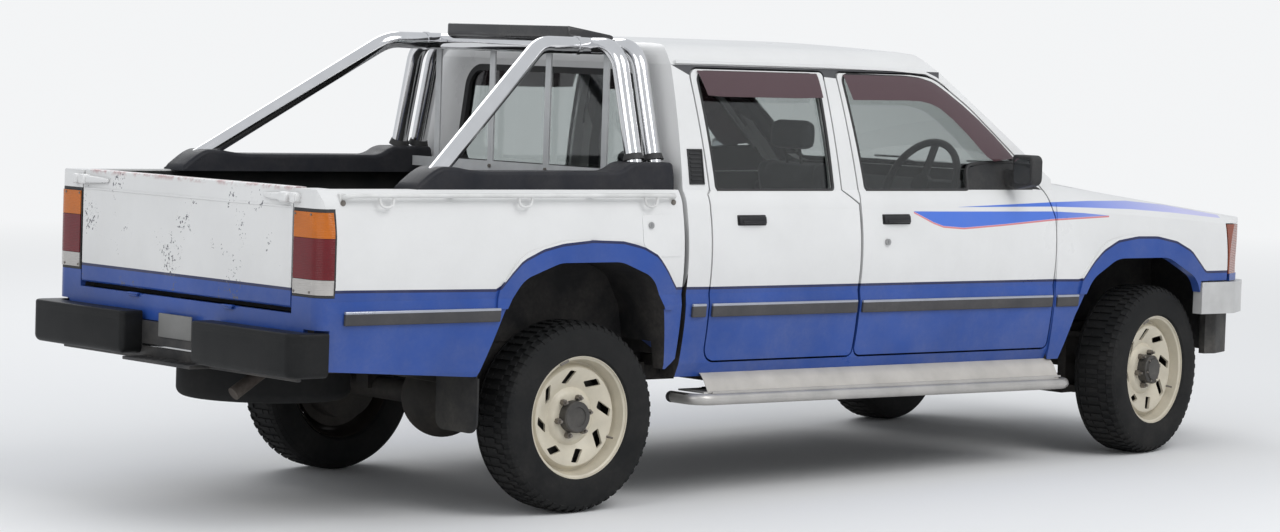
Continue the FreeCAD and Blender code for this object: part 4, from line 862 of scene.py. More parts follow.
# Rear bumper finishes, with the blank plate and the polished strip between the pads.
# The pads are moulded in black and the step is dark steel; both are shaped further below.
pad_black = finish_material("bumper_pad_black", (0.011, 0.0115, 0.012), 0.38, grain=0.5, grain_scale=320, dusty=0.16,
                            reach=1.0, dust_colour=(0.12, 0.115, 0.11), gloss=0.12)
step_dark = finish_material("step_dark_steel", (0.045, 0.045, 0.047), 0.5, metal=0.3, grain=0.2, dusty=0.5,
                            gloss=0.22)
plate_grey = finish_material("blank_plate", (0.17, 0.17, 0.165), 0.45, dusty=0.4)
polished = finish_material("polished_strip", (0.62, 0.62, 0.62), 0.15, metal=1.0, dusty=0.2)
bm = bmesh.new()
block(bm, -1.172, -1.1665, -0.105, 0.105, 0.548, 0.633, 0.004, 2)
new_piece("rear_plate_blank", bm, plate_grey)
bm = bmesh.new()
block(bm, -1.172, -1.166, -0.205, 0.205, 0.510, 0.518, 0.002, 2)
new_piece("step_bright_strip", bm, polished)

# Glass: clear toughened panes in the cab and doors, slightly green, with a little road film.
# Each pane is bonded or set in its rubber.
def glass_material(name, colour, rough, clearness, coat=0.0):
    material, tree, coords = start_material(name)
    film = mask_from(tree, dust, {"Amount": 0.10, "Reach": 1.6})
    streaks = spread(tree, noise(tree, coords, 22.0, 4.0), 0.35, 0.75, rough, rough + 0.05)
    dress(tree, {"Base Color": mix_colour(tree, film, colour, (0.42, 0.40, 0.37)),
                 "Roughness": math_node(tree, "ADD", streaks, math_node(tree, "MULTIPLY", film, 0.3), True),
                 "Transmission Weight": clearness, "IOR": 1.45, "Coat Weight": coat})
    return material


pane_glass = glass_material("pane_glass", (0.62, 0.65, 0.645), 0.0, 1.0)
for name in ("cab_glass", "glass_front_right", "glass_front_left", "glass_rear_right", "glass_rear_left"):
    coat_node(name, pane_glass)

# Smoked deflectors: a formed acrylic strip over the top of each door window, stuck to the frame.
# They lean out along their lower edge and follow the slope of the front pillar.
smoked = glass_material("smoked_acrylic", (0.105, 0.055, 0.065), 0.06, 0.35, 0.3)
DEFLECTORS = {
    "front": ([(1.331, 1.541), (1.45, 1.541), (1.56, 1.541), (1.657, 1.540), (1.744, 1.535), (1.807, 1.517),
               (1.866, 1.487), (1.945, 1.437), (2.023, 1.381), (2.102, 1.317), (2.150, 1.275), (2.196, 1.234)],
              [(1.350, 1.449), (1.45, 1.450), (1.56, 1.451), (1.630, 1.452), (1.704, 1.450), (1.760, 1.441),
               (1.809, 1.423), (1.868, 1.383), (1.945, 1.320), (2.000, 1.268), (2.034, 1.240), (2.070, 1.223)]),
    "rear": ([(0.600, 1.541), (0.70, 1.541), (0.82, 1.541), (0.95, 1.541), (1.08, 1.541), (1.196, 1.541)],
             [(0.622, 1.455), (0.70, 1.451), (0.82, 1.451), (0.95, 1.451), (1.08, 1.451), (1.196, 1.455)]),
}
for side, word in SIDES:
    for place_name, (upper_row, lower_row) in DEFLECTORS.items():
        bm = bmesh.new()
        edge_rows = []
        for row, out in ((upper_row, 0.0), (lower_row, 1.0)):
            verts = [bm.verts.new((x, out, z)) for x, z in row]
            edge_rows.append([bm.edges.new(pair) for pair in zip(verts, verts[1:])])
        bmesh.ops.bridge_loops(bm, edges=edge_rows[0] + edge_rows[1])
        crossing = [e for e in bm.edges if abs(e.verts[0].co.y - e.verts[1].co.y) > 0.5]
        bmesh.ops.subdivide_edges(bm, edges=crossing, cuts=5, use_grid_fill=True)
        for vert in bm.verts:
            vert.co.y = 0.004 + 0.017 * vert.co.y ** 0.65
        bmesh.ops.solidify(bm, geom=bm.faces[:], thickness=0.0028)
        wrap(bm, side)
        new_piece(f"deflector_{place_name}_{word}", bm, smoked, f"door_{place_name}_{word}")

# Door mirrors: silvered glass set in the rear face of each black moulded case.
# The case stands on a short arm from the sail plate in the corner of the window.
mirror_silver = finish_material("mirror_silver", (0.62, 0.64, 0.66), 0.06, metal=1.0, dusty=0.06, tint=0.01)
for side, word in SIDES:
    bm = bmesh.new()
    block(bm, 2.1262, 2.1285, side * 0.846, side * 0.931, 1.138, 1.236, 0.0)
    corners = [e for e in bm.edges if abs((e.verts[0].co - e.verts[1].co).normalized().x) > 0.9]
    soften(bm, corners, 0.018, 5)
    new_piece(f"mirror_glass_{word}", bm, mirror_silver, f"door_front_{word}")

# Windscreen and rear window seals: black extruded rubber pressed over the edges of the openings.
# The screen's seal follows its curve across the cab and its slope.
SCREEN_RADIUS = 1.8076


def screen_x(y, z):
    return 2.475 + 1.447 * (1.223 - z) - (SCREEN_RADIUS - math.sqrt(SCREEN_RADIUS ** 2 - y * y))


def ring_plate(bm, corners, radii, width):
    for vert, radius in zip(outline(bm, [(0, y, z) for y, z in corners]), radii):
        soften(bm, [vert], radius, 8, "VERTICES")
    open_frame(bm, width)
    slice_across(bm, (0, 1, 0), [i * 0.05 - 0.75 for i in range(31)])


bm = bmesh.new()
ring_plate(bm, [(-0.696, 1.160), (0.696, 1.160), (0.606, 1.566), (-0.606, 1.566)], (0.05, 0.05, 0.08, 0.08), 0.026)
for vert in thicken(bm):
    vert.co.x = -0.016
for vert in bm.verts:
    vert.co.x += screen_x(vert.co.y, vert.co.z) + 0.0035
new_piece("windscreen_seal", bm, seal_rubber)
bm = bmesh.new()
ring_plate(bm, [(-0.566, 1.144), (0.566, 1.144), (0.505, 1.536), (-0.505, 1.536)], (0.07, 0.07, 0.085, 0.085), 0.024)
for vert in thicken(bm):
    vert.co.x = 0.026
for vert in bm.verts:
    vert.co.x += 0.466 + (vert.co.z - 1.11) / 0.45 * 0.012
new_piece("rear_window_seal", bm, seal_rubber)

# Drip rails: folded steel gutters along both edges of the roof, painted with the body.
# Each runs from the rear corner of the cab down over the front pillar.
DRIP_LINE = [(0.500, 1.5655), (0.90, 1.566), (1.244, 1.5645), (1.590, 1.560), (1.768, 1.551), (1.822, 1.532),
             (1.867, 1.507)]
for side, word in SIDES:
    bm = bmesh.new()
    for vert in swept_line(bm, [(x, 0, z) for x, z in DRIP_LINE]):
        vert.co.z += 0.010
    for vert in thicken(bm):
        vert.co.y = 0.013
    for vert in bm.verts:
        vert.co.y = side * (side_y(min(vert.co.z, 1.560)) + vert.co.y - 0.005)
    new_piece(f"drip_rail_{word}", bm, plain_paint)

# Cab vents: black louvred inserts in the rear pillars, clipped into pressed holes.
# Seven slats stand one above the other inside each frame.
for side, word in SIDES:
    bm = bmesh.new()
    block(bm, 0.506, 0.574, -0.010, 0.0012, 1.132, 1.254, 0.003, 2)
    for i in range(7):
        z = 1.144 + i * 0.0155
        block(bm, 0.513, 0.567, 0.000, 0.0045, z, z + 0.007, 0.0015, 2)
    block(bm, 0.504, 0.510, -0.004, 0.0050, 1.130, 1.256, 0.002, 2)
    block(bm, 0.570, 0.576, -0.004, 0.0050, 1.130, 1.256, 0.002, 2)
    block(bm, 0.504, 0.576, -0.004, 0.0050, 1.251, 1.257, 0.002, 2)
    block(bm, 0.504, 0.576, -0.004, 0.0050, 1.129, 1.135, 0.002, 2)
    wrap(bm, side)
    new_piece(f"cab_vent_{word}", bm, black_trim)

# Fuel flap: a pressed steel lid on the right side of the bed, painted with it, in a narrow shut line that a near-black
# plate behind the lid darkens as painted shade.
# It is hinged inside along its front edge.
def rounded_lid(bm, margin, radius, y0, y1):
    corners = ((0.300, 0.872), (0.432, 0.872), (0.432, 1.024), (0.253, 1.024), (0.253, 0.918))
    verts = [bm.verts.new((x, y0, z)) for x, z in corners]
    lid = bm.faces.new(verts)
    if margin > 0:
        bmesh.ops.inset_region(bm, faces=[lid], thickness=margin)
        rim = [face for face in bm.faces if face is not lid]
        bmesh.ops.delete(bm, geom=rim, context="FACES")
    soften(bm, bm.verts[:], radius, 6, "VERTICES")
    bmesh.ops.translate(bm, verts=thicken(bm), vec=(0, y1 - y0, 0))
    slice_across(bm, (0, 0, 1), (0.90, 0.93, 0.96, 0.99))


# The plate under the lid is near-black: painted shade for the depth of the shut line.
gap_shade = finish_material("flap_gap_painted_shade", (0.012, 0.012, 0.013), 0.8, dusty=0.2)
bm = bmesh.new()
rounded_lid(bm, 0.0, 0.016, -0.003, 0.0006)
wrap(bm, -1)
new_piece("fuel_flap_gap", bm, gap_shade)
bm = bmesh.new()
rounded_lid(bm, 0.003, 0.014, -0.002, 0.0016)
wrap(bm, -1)
new_piece("fuel_flap", bm, body_paint)
bm = bmesh.new()
stud(bm, 28, 0.0120, 0.0105, 0.008, posed((0.290, 0.003, 0.985), 90, "X"))
block(bm, 0.2888, 0.2912, 0.006, 0.0085, 0.979, 0.991)
wrap(bm, -1)
new_piece("fuel_flap_lock", bm, key_metal)

# Rope rails: a steel pipe along each bed side on bolted brackets, with three hooks hanging below it.
# They are painted white with the bed; rope ends were looped under the hooks.
HOOK = ((-0.030, 0.0, -0.006), (-0.028, 0.002, -0.030), (-0.012, 0.004, -0.040), (0.012, 0.004, -0.040),
        (0.028, 0.002, -0.030), (0.030, 0.0, -0.006))
rail_paint = finish_material("rail_white", (0.66, 0.66, 0.65), 0.4, grain=0.1, dusty=0.35, reach=1.5, coat=0.2)
for side, word in SIDES:
    bm = bmesh.new()
    pipe_y, pipe_z = side * 0.838, 1.092
    bent_rod(bm, [(-1.052, side * 0.806, pipe_z - 0.012), (-1.050, pipe_y, pipe_z - 0.004), (-1.020, pipe_y, pipe_z),
                  (-0.6, pipe_y, pipe_z), (0.0, pipe_y, pipe_z), (0.370, pipe_y, pipe_z),
                  (0.400, pipe_y, pipe_z - 0.004), (0.403, side * 0.806, pipe_z - 0.012)], 0.0085, 4)
    for x in (-0.60, 0.02):
        block(bm, x - 0.012, x + 0.012, side * 0.803, side * 0.840, pipe_z - 0.006, pipe_z + 0.006, 0.003, 2)
    for x in (-0.886, -0.290, 0.283):
        bent_rod(bm, [(x + along, pipe_y + side * out, pipe_z + up) for along, out, up in HOOK], 0.0048, 3)
    block(bm, 0.392, 0.418, side * 0.800, side * 0.817, 1.052, 1.098, 0.003, 2)
    block(bm, -1.066, -1.040, side * 0.800, side * 0.817, 1.052, 1.098, 0.003, 2)
    new_piece(f"rope_rail_{word}", bm, rail_paint)
    bm = bmesh.new()
    for x in (0.405, -1.053):
        turn = posed((x, side * 0.8195, 1.066), 90, "X")
        stud(bm, 6, 0.0075, 0.007, 0.007, turn)
        stud(bm, 20, 0.010, 0.010, 0.0035, turn)
    new_piece(f"rope_rail_bolts_{word}", bm, nut_steel, closed=False)

# Roll bar: polished steel tube in two hoops with sloping legs, and a flat-bar guard behind the cab glass.
# Moulded covers close its feet, rubber collars seal them, and a smoked visor sits over the hoops.
polished_tube = finish_material("polished_tube", (0.78, 0.78, 0.79), 0.10, metal=1.0, grain=0.02, grain_scale=300,
                                dusty=0.10, reach=1.8, tint=0.02)
guard_grey = finish_material("guard_silver_grey", (0.56, 0.57, 0.575), 0.42, metal=0.1, grain=0.1, dusty=0.15,
                             reach=1.4)
cover_grey = finish_material("cover_moulded_grey", (0.020, 0.021, 0.026), 0.40, grain=0.4, grain_scale=650,
                             dusty=0.16, reach=1.6, gloss=0.12)
visor_smoke = finish_material("visor_gloss_black", (0.020, 0.020, 0.022), 0.16, grain=0.03, dusty=0.25, reach=2.2,
                              coat=0.4)


def guard_part(centre, normal):
    level = abs(centre.x - 0.3365) < 0.0046
    upright = min(abs(abs(centre.y) - 0.504), abs(abs(centre.y) - 0.168)) < 0.0175
    return 1 if level and (upright or centre.z < 1.1735 and abs(centre.y) < 0.72) else 0


coat_node("roll_bar", polished_tube, (guard_grey,), guard_part, 62)
LEG_SLOPE, COLLAR_HEIGHT = math.atan2(0.124, 0.468), 1.2225
leg_shift = (COLLAR_HEIGHT - 1.150) * math.tan(LEG_SLOPE)
bm = bmesh.new()
for side in (-1, 1):
    for x in (0.305, 0.397):
        made = bmesh.ops.create_cone(bm, cap_ends=False, segments=36, radius1=0.040, radius2=0.0335,
                                     depth=0.022)["verts"]
        bmesh.ops.rotate(bm, verts=made, cent=(0, 0, 0), matrix=Matrix.Rotation(side * LEG_SLOPE, 3, "X"))
        bmesh.ops.translate(bm, verts=made, vec=(x, side * (0.724 - leg_shift), COLLAR_HEIGHT))
bmesh.ops.solidify(bm, geom=bm.faces[:], thickness=0.003)
new_piece("roll_bar_foot_collars", bm, seal_rubber)
bm = bmesh.new()
for side in (-1, 1):
    for y in (0.504, 0.168):
        stud(bm, 6, 0.008, 0.008, 0.006, posed((0.3305, side * y, 1.1535), 90, "Y"))
new_piece("guard_bolts", bm, nut_steel, closed=False)

# Load bed liner: one black moulding with pressed ribs along its floor and walls.
# It is dusty, and paler where loads have rubbed it.
liner_black = finish_material("liner_black", (0.020, 0.021, 0.022), 0.6, grain=0.5, grain_scale=260, dusty=0.8,
                              reach=1.0, dust_colour=(0.16, 0.15, 0.13), gloss=0.12)
tree = liner_black.node_tree
add_bump(tree, spread(tree, waves(tree, "Y", 4.4), 0.35, 0.6), 0.8, 0.012)
coat_node("bed_liner", liner_black)

# Running gear and chassis: black underseal on the frame, cast steel axles and a rust-brown exhaust.
# The spare wheel hangs under the bed on its own cream disc.
cast_dark = finish_material("cast_dark", (0.045, 0.043, 0.041), 0.65, metal=0.3, grain=0.5, grain_scale=120,
                            dusty=0.7, reach=0.9, dust_colour=(0.17, 0.15, 0.13), gloss=0.22)
exhaust_brown = finish_material("exhaust_brown", (0.045, 0.035, 0.03), 0.7, metal=0.4, grain=0.4, grain_scale=90,
                                dusty=0.5, reach=0.9, tint=0.16, gloss=0.22)
flap_rubber = finish_material("flap_rubber", (0.022, 0.022, 0.023), 0.65, grain=0.2, dusty=0.6, reach=0.8,
                              dust_colour=(0.15, 0.14, 0.12), gloss=0.22)
for name in ("chassis_frame", "cross_members"):
    coat_node(name, underseal)
for name in ("driveline", "rear_suspension", "front_suspension", "knuckle_right", "knuckle_left"):
    coat_node(name, cast_dark)
coat_node("exhaust", exhaust_brown)
coat_node("mud_flaps", flap_rubber)
coat_node("spare_wheel", tyre_black, (cream_paint,), lambda c, n: 1 if math.hypot(c.x + 0.79, c.y) < 0.156 else 0)

# Side steps: silver-painted tube bent round the foot plate, which has black ribbed treads.
# They hang on three arms from the chassis on each side.
step_silver = finish_material("step_silver", (0.50, 0.485, 0.465), 0.35, metal=0.6, grain=0.08, dusty=0.35, reach=0.6)
tread_rubber = finish_material("tread_rubber", (0.020, 0.020, 0.021), 0.7, grain=0.4, dusty=0.7,
                               dust_colour=(0.15, 0.14, 0.12), gloss=0.22)


def step_part(centre, normal):
    plate = 0.365 < centre.z < 0.3715 or centre.z > 0.3785
    return 1 if abs(centre.y) < 0.80 and plate else 0


coat_node("side_steps", step_silver, (underseal,), step_part)
for side, word in SIDES:
    bm = bmesh.new()
    for x0, x1 in ((0.64, 1.16), (1.48, 2.30)):
        block(bm, x0, x1, side * 0.722, side * 0.818, 0.3775, 0.3815, 0.0015, 2)
        for i in range(6):
            y = 0.731 + i * 0.0156
            block(bm, x0 + 0.008, x1 - 0.008, side * (y - 0.003), side * (y + 0.003), 0.3805, 0.3845, 0.0012, 1)
    new_piece(f"step_tread_{word}", bm, tread_rubber)
    bm = bmesh.new()
    for x in (0.528, 2.492):
        made = bmesh.ops.create_uvsphere(bm, u_segments=20, v_segments=10, radius=0.0215)["verts"]
        bmesh.ops.translate(bm, verts=made, vec=(x, side * 0.700, 0.350 if x < 1 else 0.345))
    new_piece(f"step_end_caps_{word}", bm, black_trim)

# Step shields: pale pressed plates that close the space between each sill and the step tube.
# They are bolted to the step's arms and painted like it.
SHIELD_PROFILE = ((0.766, 0.446), (0.790, 0.440), (0.812, 0.416), (0.836, 0.376), (0.841, 0.362))
shield_paint = finish_material("step_shield_paint", (0.50, 0.475, 0.44), 0.45, metal=0.15, grain=0.1, dusty=0.4,
                               reach=0.55)
for side, word in SIDES:
    bm = bmesh.new()
    far_end = swept_line(bm, [(0.585, side * y, z) for y, z in SHIELD_PROFILE])
    bmesh.ops.translate(bm, verts=far_end, vec=(1.845, 0, 0))
    bmesh.ops.recalc_face_normals(bm, faces=bm.faces)
    bmesh.ops.solidify(bm, geom=bm.faces[:], thickness=0.0022)
    new_piece(f"step_shield_{word}", bm, shield_paint)

# Rear bumper pads: soft black mouldings with a groove under their top lip, on a bent steel step.
# They replace the plain pads and step; the hole in the step's shelf is for a tow ball.
PAD_OUTLINE = [(-1.252, 0.216), (-1.252, 0.835), (-1.105, 0.835), (-1.105, 0.790), (-1.165, 0.770), (-1.165, 0.216)]
for side, word in SIDES:
    bm = bmesh.new()
    for low, top, margin, low_soft, top_soft in ((0.480, 0.606, 0.0, 0.024, 0.007), (0.600, 0.614, 0.009, 0.0, 0.0),
                                                 (0.6115, 0.632, 0.003, 0.004, 0.009)):
        layer = bmesh.new()
        face = layer.faces.new([layer.verts.new((x, side * y, low)) for x, y in PAD_OUTLINE])
        if margin > 0:
            bmesh.ops.inset_region(layer, faces=[face], thickness=margin, use_boundary=True, use_even_offset=True)
            bmesh.ops.delete(layer, geom=[f for f in layer.faces if f is not face], context="FACES")
        outer = max(layer.verts, key=lambda v: abs(v.co.y) - v.co.x)
        soften(layer, [outer], 0.052, 8, "VERTICES")
        inner = max(layer.verts, key=lambda v: -abs(v.co.y) - v.co.x)
        soften(layer, [inner], 0.020, 5, "VERTICES")
        bmesh.ops.translate(layer, verts=thicken(layer), vec=(0, 0, top - low))
        for level, soft in ((low, low_soft), (top, top_soft)):
            rim = [e for e in layer.edges if all(abs(v.co.z - level) < 1e-6 for v in e.verts) and len(e.link_faces) == 2
                   and min(v.co.x for v in e.verts) < -1.18]
            if soft > 0:
                soften(layer, rim, soft, 4)
        bmesh.ops.recalc_face_normals(layer, faces=layer.faces)
        made = bpy.data.meshes.new("pad_layer")
        layer.to_mesh(made)
        layer.free()
        bm.from_mesh(made)
        bpy.data.meshes.remove(made)
    pad = new_piece(f"bumper_pad_{word}", bm, pad_black, smooth=40, closed=False)
    if side < 0:
        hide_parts("rear_bumper")
bm = bmesh.new()
block(bm, -1.2480, -1.1460, -0.214, 0.214, 0.462, 0.474, 0.003, 2)
block(bm, -1.1660, -1.1470, -0.740, 0.740, 0.462, 0.598, 0.004, 2)
for side in (-1, 1):
    block(bm, -1.150, -0.950, side * 0.320, side * 0.370, 0.500, 0.545, 0.004, 2)
    block(bm, -1.2475, -1.150, side * 0.205, side * 0.213, 0.470, 0.545, 0.003, 2)
bumper_step = new_piece("bumper_step", bm, step_dark)
bm = bmesh.new()
stud(bm, 28, 0.0125, 0.0125, 0.05, body_place @ Matrix.Translation((-1.215, 0, 0.468)))
drill = bpy.data.meshes.new("tow_hole")
bm.to_mesh(drill)
bm.free()
cut_out(bumper_step, drill, "EXACT")
bm = bmesh.new()
for i in range(9):
    y = -0.160 + i * 0.040
    if abs(y) > 0.03:
        block(bm, -1.238, -1.180, y - 0.0045, y + 0.0045, 0.4735, 0.4765, 0.001, 1)
new_piece("step_grip_bars", bm, step_dark)

# Roll bar covers and visor: blow-moulded black covers along the bed sides, and a folded visor over the hoops.
# They replace the plain covers, and the tubes come up through their tops.
COVER_PROFILE = [(0.430, 1.1075, 0.0), (0.430, 1.208, 0.018), (0.238, 1.207, 0.025), (0.182, 1.173, 0.03),
                 (-0.475, 1.173, 0.06), (-0.560, 1.189, 0.05), (-0.632, 1.187, 0.05), (-0.722, 1.122, 0.02),
                 (-0.722, 1.1075, 0.0)]
for side, word in SIDES:
    bm = bmesh.new()
    verts = outline(bm, [(x, side * 0.789, z) for x, z, soft in COVER_PROFILE])
    for vert, (x, z, soft) in zip(verts, COVER_PROFILE):
        if soft > 0:
            soften(bm, [vert], soft, 5, "VERTICES")
    bmesh.ops.translate(bm, verts=thicken(bm), vec=(0, -side * 0.134, 0))
    bmesh.ops.recalc_face_normals(bm, faces=bm.faces)
    rim = [e for e in bm.edges
           if abs(e.verts[0].co.y - e.verts[1].co.y) < 1e-6 and min(v.co.z for v in e.verts) > 1.115]
    soften(bm, rim, 0.015, 4)
    cover = new_piece(f"bar_cover_{word}", bm, cover_grey, smooth=30)
    if side < 0:
        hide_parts("roll_bar_covers")
bm = bmesh.new()
outline(bm, [(0.262, -0.362, 1.640), (0.380, -0.488, 1.640), (0.380, 0.488, 1.640), (0.262, 0.362, 1.640)])
for vert in thicken(bm):
    vert.co.z = 1.690 if vert.co.x < 0.3 else 1.658
bmesh.ops.recalc_face_normals(bm, faces=bm.faces)
soften(bm, bm.edges[:], 0.008, 4)
new_piece("bar_visor", bm, visor_smoke, smooth=34)

# Seats: two front seats and a rear bench in grey woven cloth over foam, on painted steel runners.
# Each cushion is inflated by a short cloth simulation from a slightly smaller block, then its channels are pressed in.
seat_cloth = finish_material("seat_cloth", (0.085, 0.087, 0.098), 0.92, dusty=0.1, tint=0.10)
tree = seat_cloth.node_tree
weft, warp, pile = (waves(tree, direction, 160.0) for direction in ("X", "Y", "Z"))
add_bump(tree, math_node(tree, "ADD", math_node(tree, "ADD", weft, warp), pile), 0.12, 0.0006)
dress(tree, {"Sheen Weight": 0.25})


def stuffed(bm, voxel, cap):
    mesh = bpy.data.meshes.new("stuffing")
    bm.to_mesh(mesh)
    bm.free()
    body = bpy.data.objects.new("stuffing", mesh)
    bpy.context.scene.collection.objects.link(body)
    bpy.context.view_layer.objects.active = body
    remesh = body.modifiers.new("remesh", "REMESH")
    remesh.mode = "VOXEL"
    remesh.voxel_size = voxel
    bpy.ops.object.modifier_apply(modifier="remesh")
    start = [vert.co.copy() for vert in body.data.vertices]
    cloth = body.modifiers.new("cloth", "CLOTH")
    cloth.settings.use_pressure = True
    cloth.settings.uniform_pressure_force = 4.0
    cloth.settings.effector_weights.gravity = 0.0
    cloth.point_cache.frame_start = 1
    cloth.point_cache.frame_end = 20
    for frame in range(1, 21):
        bpy.context.scene.frame_set(frame)
    made = body.evaluated_get(bpy.context.evaluated_depsgraph_get())
    ends = [vert.co.copy() for vert in made.data.vertices]
    body.modifiers.remove(cloth)
    bpy.context.scene.frame_set(1)
    for vert, was, now in zip(body.data.vertices, start, ends):
        push = now - was
        if push.length > cap:
            push = push.normalized() * cap
        vert.co = was + push
    smooth = body.modifiers.new("smooth", "SUBSURF")
    smooth.levels = smooth.render_levels = 1
    bpy.ops.object.modifier_apply(modifier="smooth")
    result = bmesh.new()
    result.from_mesh(body.data)
    bpy.data.objects.remove(body)
    return result


def slanted_block(bm, rows, y0, y1, soft):
    outline(bm, [(x, y0, z) for x, z in rows])
    bmesh.ops.translate(bm, verts=thicken(bm), vec=(0, y1 - y0, 0))
    bmesh.ops.recalc_face_normals(bm, faces=bm.faces)
    soften(bm, bm.edges[:], soft, 3)


CUSHIONS = [
    # name, side outline, then low y, high y, edge radius, channel places across, sides that carry it
    ("seat_base", [(1.500, 0.625), (1.950, 0.640), (1.950, 0.745), (1.500, 0.735)],
     0.212, 0.633, 0.030, (0.285, 0.560), (-1, 1)),
    ("seat_back", [(1.415, 0.735), (1.535, 0.750), (1.420, 1.215), (1.315, 1.205)],
     0.212, 0.633, 0.030, (0.285, 0.560), (-1, 1)),
    ("head_rest", [(1.300, 1.250), (1.372, 1.250), (1.370, 1.360), (1.305, 1.360)],
     0.320, 0.530, 0.022, (), (-1, 1)),
    ("bench_base", [(0.655, 0.560), (1.105, 0.580), (1.105, 0.740), (0.655, 0.735)],
     -0.625, 0.625, 0.032, (-0.215, 0.215), (1,)),
    ("bench_back", [(0.545, 0.755), (0.670, 0.765), (0.605, 1.165), (0.548, 1.165)],
     -0.625, 0.625, 0.026, (-0.215, 0.215), (1,)),
]
for name, rows, y0, y1, soft, channels, sides in CUSHIONS:
    shape = bmesh.new()
    slanted_block(shape, rows, y0, y1, soft)
    pad_bm = stuffed(shape, 0.016, 0.014)
    middle = Vector((sum(x for x, z in rows) / 4, 0, sum(z for x, z in rows) / 4))
    for vert in pad_bm.verts:
        for place_y in channels:
            near = max(0.0, 1 - abs(vert.co.y - place_y) / 0.020)
            inward = Vector((middle.x - vert.co.x, 0, middle.z - vert.co.z))
            vert.co += inward.normalized() * (0.008 * near * near)
    for side in sides:
        copy = pad_bm.copy()
        for vert in copy.verts:
            vert.co.y *= side
        if side < 0:
            bmesh.ops.reverse_faces(copy, faces=copy.faces)
        label = name if len(sides) == 1 else f"{name}_{'right' if side < 0 else 'left'}"
        cushion = new_piece(label, copy, seat_cloth, smooth=180, closed=False)
        if label == "bench_base":
            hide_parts("seats")
    pad_bm.free()
seat_steel = finish_material("seat_steel", (0.03, 0.03, 0.032), 0.5, metal=0.2, dusty=0.2)
bm = bmesh.new()
for side in (-1, 1):
    for y in (0.230, 0.590):
        block(bm, 1.520, 1.920, side * (y - 0.018), side * (y + 0.018), 0.541, 0.560, 0.003, 2)
        block(bm, 1.540, 1.580, side * (y - 0.012), side * (y + 0.012), 0.556, 0.630, 0.003, 2)
        block(bm, 1.860, 1.900, side * (y - 0.012), side * (y + 0.012), 0.556, 0.640, 0.003, 2)
    block(bm, 1.530, 1.910, side * 0.222, side * 0.600, 0.606, 0.618, 0.003, 2)
    for y in (0.385, 0.465):
        bent_rod(bm, [(1.352, side * y, 1.190), (1.345, side * y, 1.22), (1.336, side * y, 1.270)], 0.006, 2)
new_piece("seat_runners", bm, seat_steel)

# Dashboard and steering wheel: black padded vinyl over steel, with a leather-grained rim.
# The driver sits on the right.
dash_vinyl = finish_material("dash_vinyl", (0.030, 0.031, 0.034), 0.7, grain=0.06, grain_scale=300, dusty=0.15,
                             reach=1.6, gloss=0.22)
wheel_rim_black = finish_material("wheel_rim_black", (0.018, 0.018, 0.019), 0.5, grain=0.4, grain_scale=600,
                                  dusty=0.05)
coat_node("dashboard", dash_vinyl)
coat_node("steering_wheel", wheel_rim_black, crisp=50)
bm = bmesh.new()
for y in (-0.55, -0.19, 0.0, 0.55):
    block(bm, 2.1335, 2.1480, y - 0.055, y + 0.055, 1.010, 1.048, 0.006, 3)
new_piece("dash_air_vents", bm, satin_black)

# Front: silver-grey bumper over a black valance, fluted lamps, amber corner lenses darkened with painted shade, and a
# bright grille frame.
# The lamp bezels follow the bend of the nose, and a flasher is let into each end of the bumper.
bumper_silver = finish_material("bumper_silver", (0.50, 0.50, 0.495), 0.38, grain=0.1, dusty=0.3, reach=1.0,
                                coat=0.15)
valance_black = finish_material("valance_black", (0.020, 0.0205, 0.021), 0.55, grain=0.4, grain_scale=500, dusty=0.45,
                                reach=0.8, gloss=0.22)
head_lens = finish_material("head_lamp_lens", (0.52, 0.54, 0.56), 0.10, metal=0.55, dusty=0.15, coat=0.8)
# The corner lenses' amber is much darker than the rear amber lens: painted shade for the shade that falls on them.
corner_lens_shaded = finish_material("corner_lamp_lens_shaded", (0.24, 0.045, 0.012), 0.15, dusty=0.15, coat=0.6)
for material, direction, scale in ((head_lens, "Y", 24.0), (corner_lens_shaded, "Z", 45.0)):
    add_bump(material.node_tree, waves(material.node_tree, direction, scale), 0.5, 0.003)
coat_node("front_bumper", bumper_silver, (valance_black,), lambda c, n: 1 if c.z < 0.6035 else 0, 40)
coat_node("front_lamps", head_lens, (corner_lens_shaded,), lambda c, n: 1 if abs(c.y) > 0.708 else 0)


def nose_x(y):
    past = max(0.0, abs(y) - 0.515)
    bend = min(past, 0.16)
    return 3.652 - 0.02 * min(abs(y), 0.515) - 0.02 * bend - 1.406 * bend * bend - 0.47 * max(0.0, past - 0.16)


def front_frame(bm, y0, y1, z0, z1, width, corner):
    outline(bm, [(0, y, z) for y, z in ((y0, z0), (y1, z0), (y1, z1), (y0, z1))])
    soften(bm, bm.verts[:], corner, 5, "VERTICES")
    open_frame(bm, width)
    slice_across(bm, (0, 1, 0), [-0.72 + i * 0.09 for i in range(17)])
    for vert in thicken(bm):
        vert.co.x = -0.014
    for vert in bm.verts:
        vert.co.x += nose_x(vert.co.y) + 0.0035


bm = bmesh.new()
front_frame(bm, -0.449, 0.449, 0.762, 0.948, 0.012, 0.012)
new_piece("grille_frame", bm, polished)
for side, word in SIDES:
    bm = bmesh.new()
    front_frame(bm, *sorted((side * 0.452, side * 0.704)), 0.764, 0.950, 0.010, 0.014)
    new_piece(f"head_lamp_bezel_{word}", bm, lamp_bezel)
    bm = bmesh.new()
    block(bm, -0.006, 0.006, -0.085, 0.085, -0.024, 0.024, 0.004, 3)
    at = body_place @ posed((3.6845, side * 0.560, 0.666), -side * 14.4, "Z")
    new_piece(f"bumper_flasher_{word}", bm, amber_lens, place=at)
bm = bmesh.new()
block(bm, 3.671, 3.677, -0.245, 0.245, 0.462, 0.568, 0.003, 2)
new_piece("front_plate_blank", bm, plate_grey)

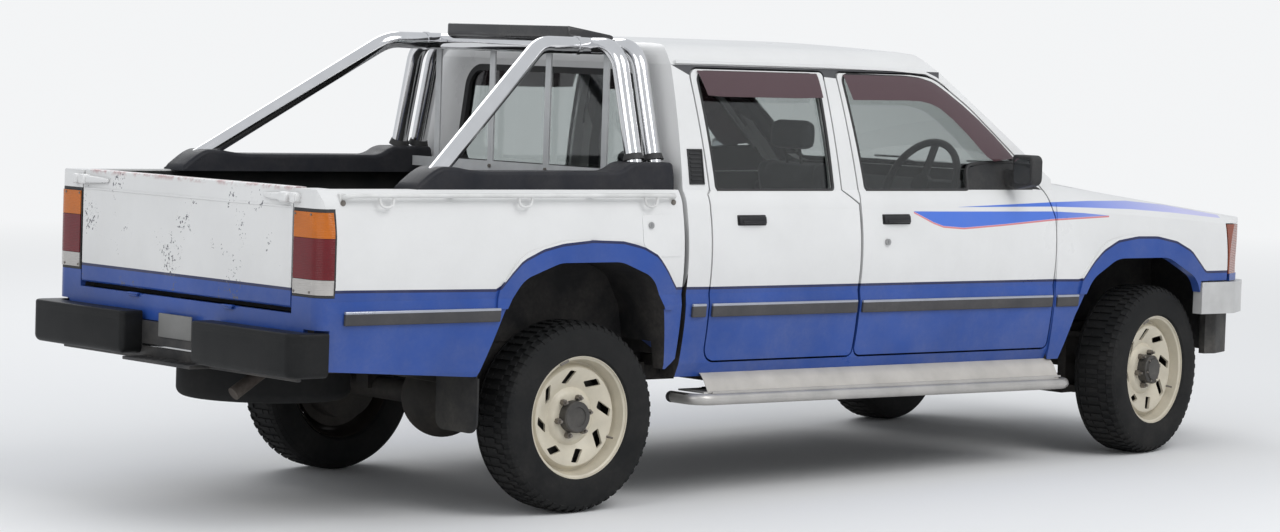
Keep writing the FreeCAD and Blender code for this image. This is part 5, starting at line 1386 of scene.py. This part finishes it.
# Wipers: two black sprung arms with rubber blades, parked along the bottom of the windscreen.
# Their spindles come up through the cowl.
bm = bmesh.new()
for pivot_y, tip_y in ((-0.46, 0.02), (0.08, 0.54)):
    for lift, radius, ends in ((0.011, 0.0045, (pivot_y, (pivot_y + tip_y) / 2)),
                               (0.007, 0.0048, (pivot_y + 0.03, tip_y))):
        count = 6
        path = []
        for i in range(count):
            y = ends[0] + (ends[1] - ends[0]) * i / (count - 1)
            z = 1.172 + (0.030 if radius < 0.0046 and i > 1 else 0.012) * min(1.0, i / 2)
            path.append((screen_x(y, z) + lift, y, z))
        bent_rod(bm, path, radius, 2)
    stud(bm, 18, 0.013, 0.010, 0.026, posed((screen_x(pivot_y, 1.168) + 0.006, pivot_y, 1.168), 35, "Y"))
new_piece("windscreen_wipers", bm, satin_black)

# Brake drums: dark cast drums inside the wheels, seen through the slots.
# They turn with the wheels.
DRUM_PROFILE = [(-0.010, 0.0), (-0.010, 0.156), (-0.004, 0.166), (0.034, 0.168), (0.040, 0.176), (0.046, 0.176),
                (0.046, 0.0)]
for corner, side in (("rear_right", -1), ("rear_left", 1), ("front_right", -1), ("front_left", 1)):
    low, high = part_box("rim_" + corner)
    centre = (low + high) / 2
    turn = Matrix.Rotation(STEERED if "front" in corner else 0, 4, "Z") @ Matrix.Scale(-side, 4, (0, 1, 0))
    bm = bmesh.new()
    ring_of(bm, DRUM_PROFILE, steps=48)
    at = Matrix.Translation((centre.x, centre.y, AXLE_HEIGHT)) @ turn
    new_piece("brake_drum_" + corner, bm, cast_dark, "wheel_" + corner, at, smooth=30)

# Splash plates: black pressed plates beside and behind each rear tyre, above the mud flap.
# They are screwed to the wheel house and the flap's upper edge.
low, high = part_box("mud_flaps")
for side, word in SIDES:
    bm = bmesh.new()
    block(bm, low.x + 0.010, low.x + 0.330, side * 0.562, side * 0.570, 0.400, 0.640, 0.003, 2)
    block(bm, low.x + 0.006, low.x + 0.014, side * 0.562, side * 0.790, 0.470, 0.640, 0.003, 2)
    new_piece(f"splash_plate_{word}", bm, underseal, place=None)
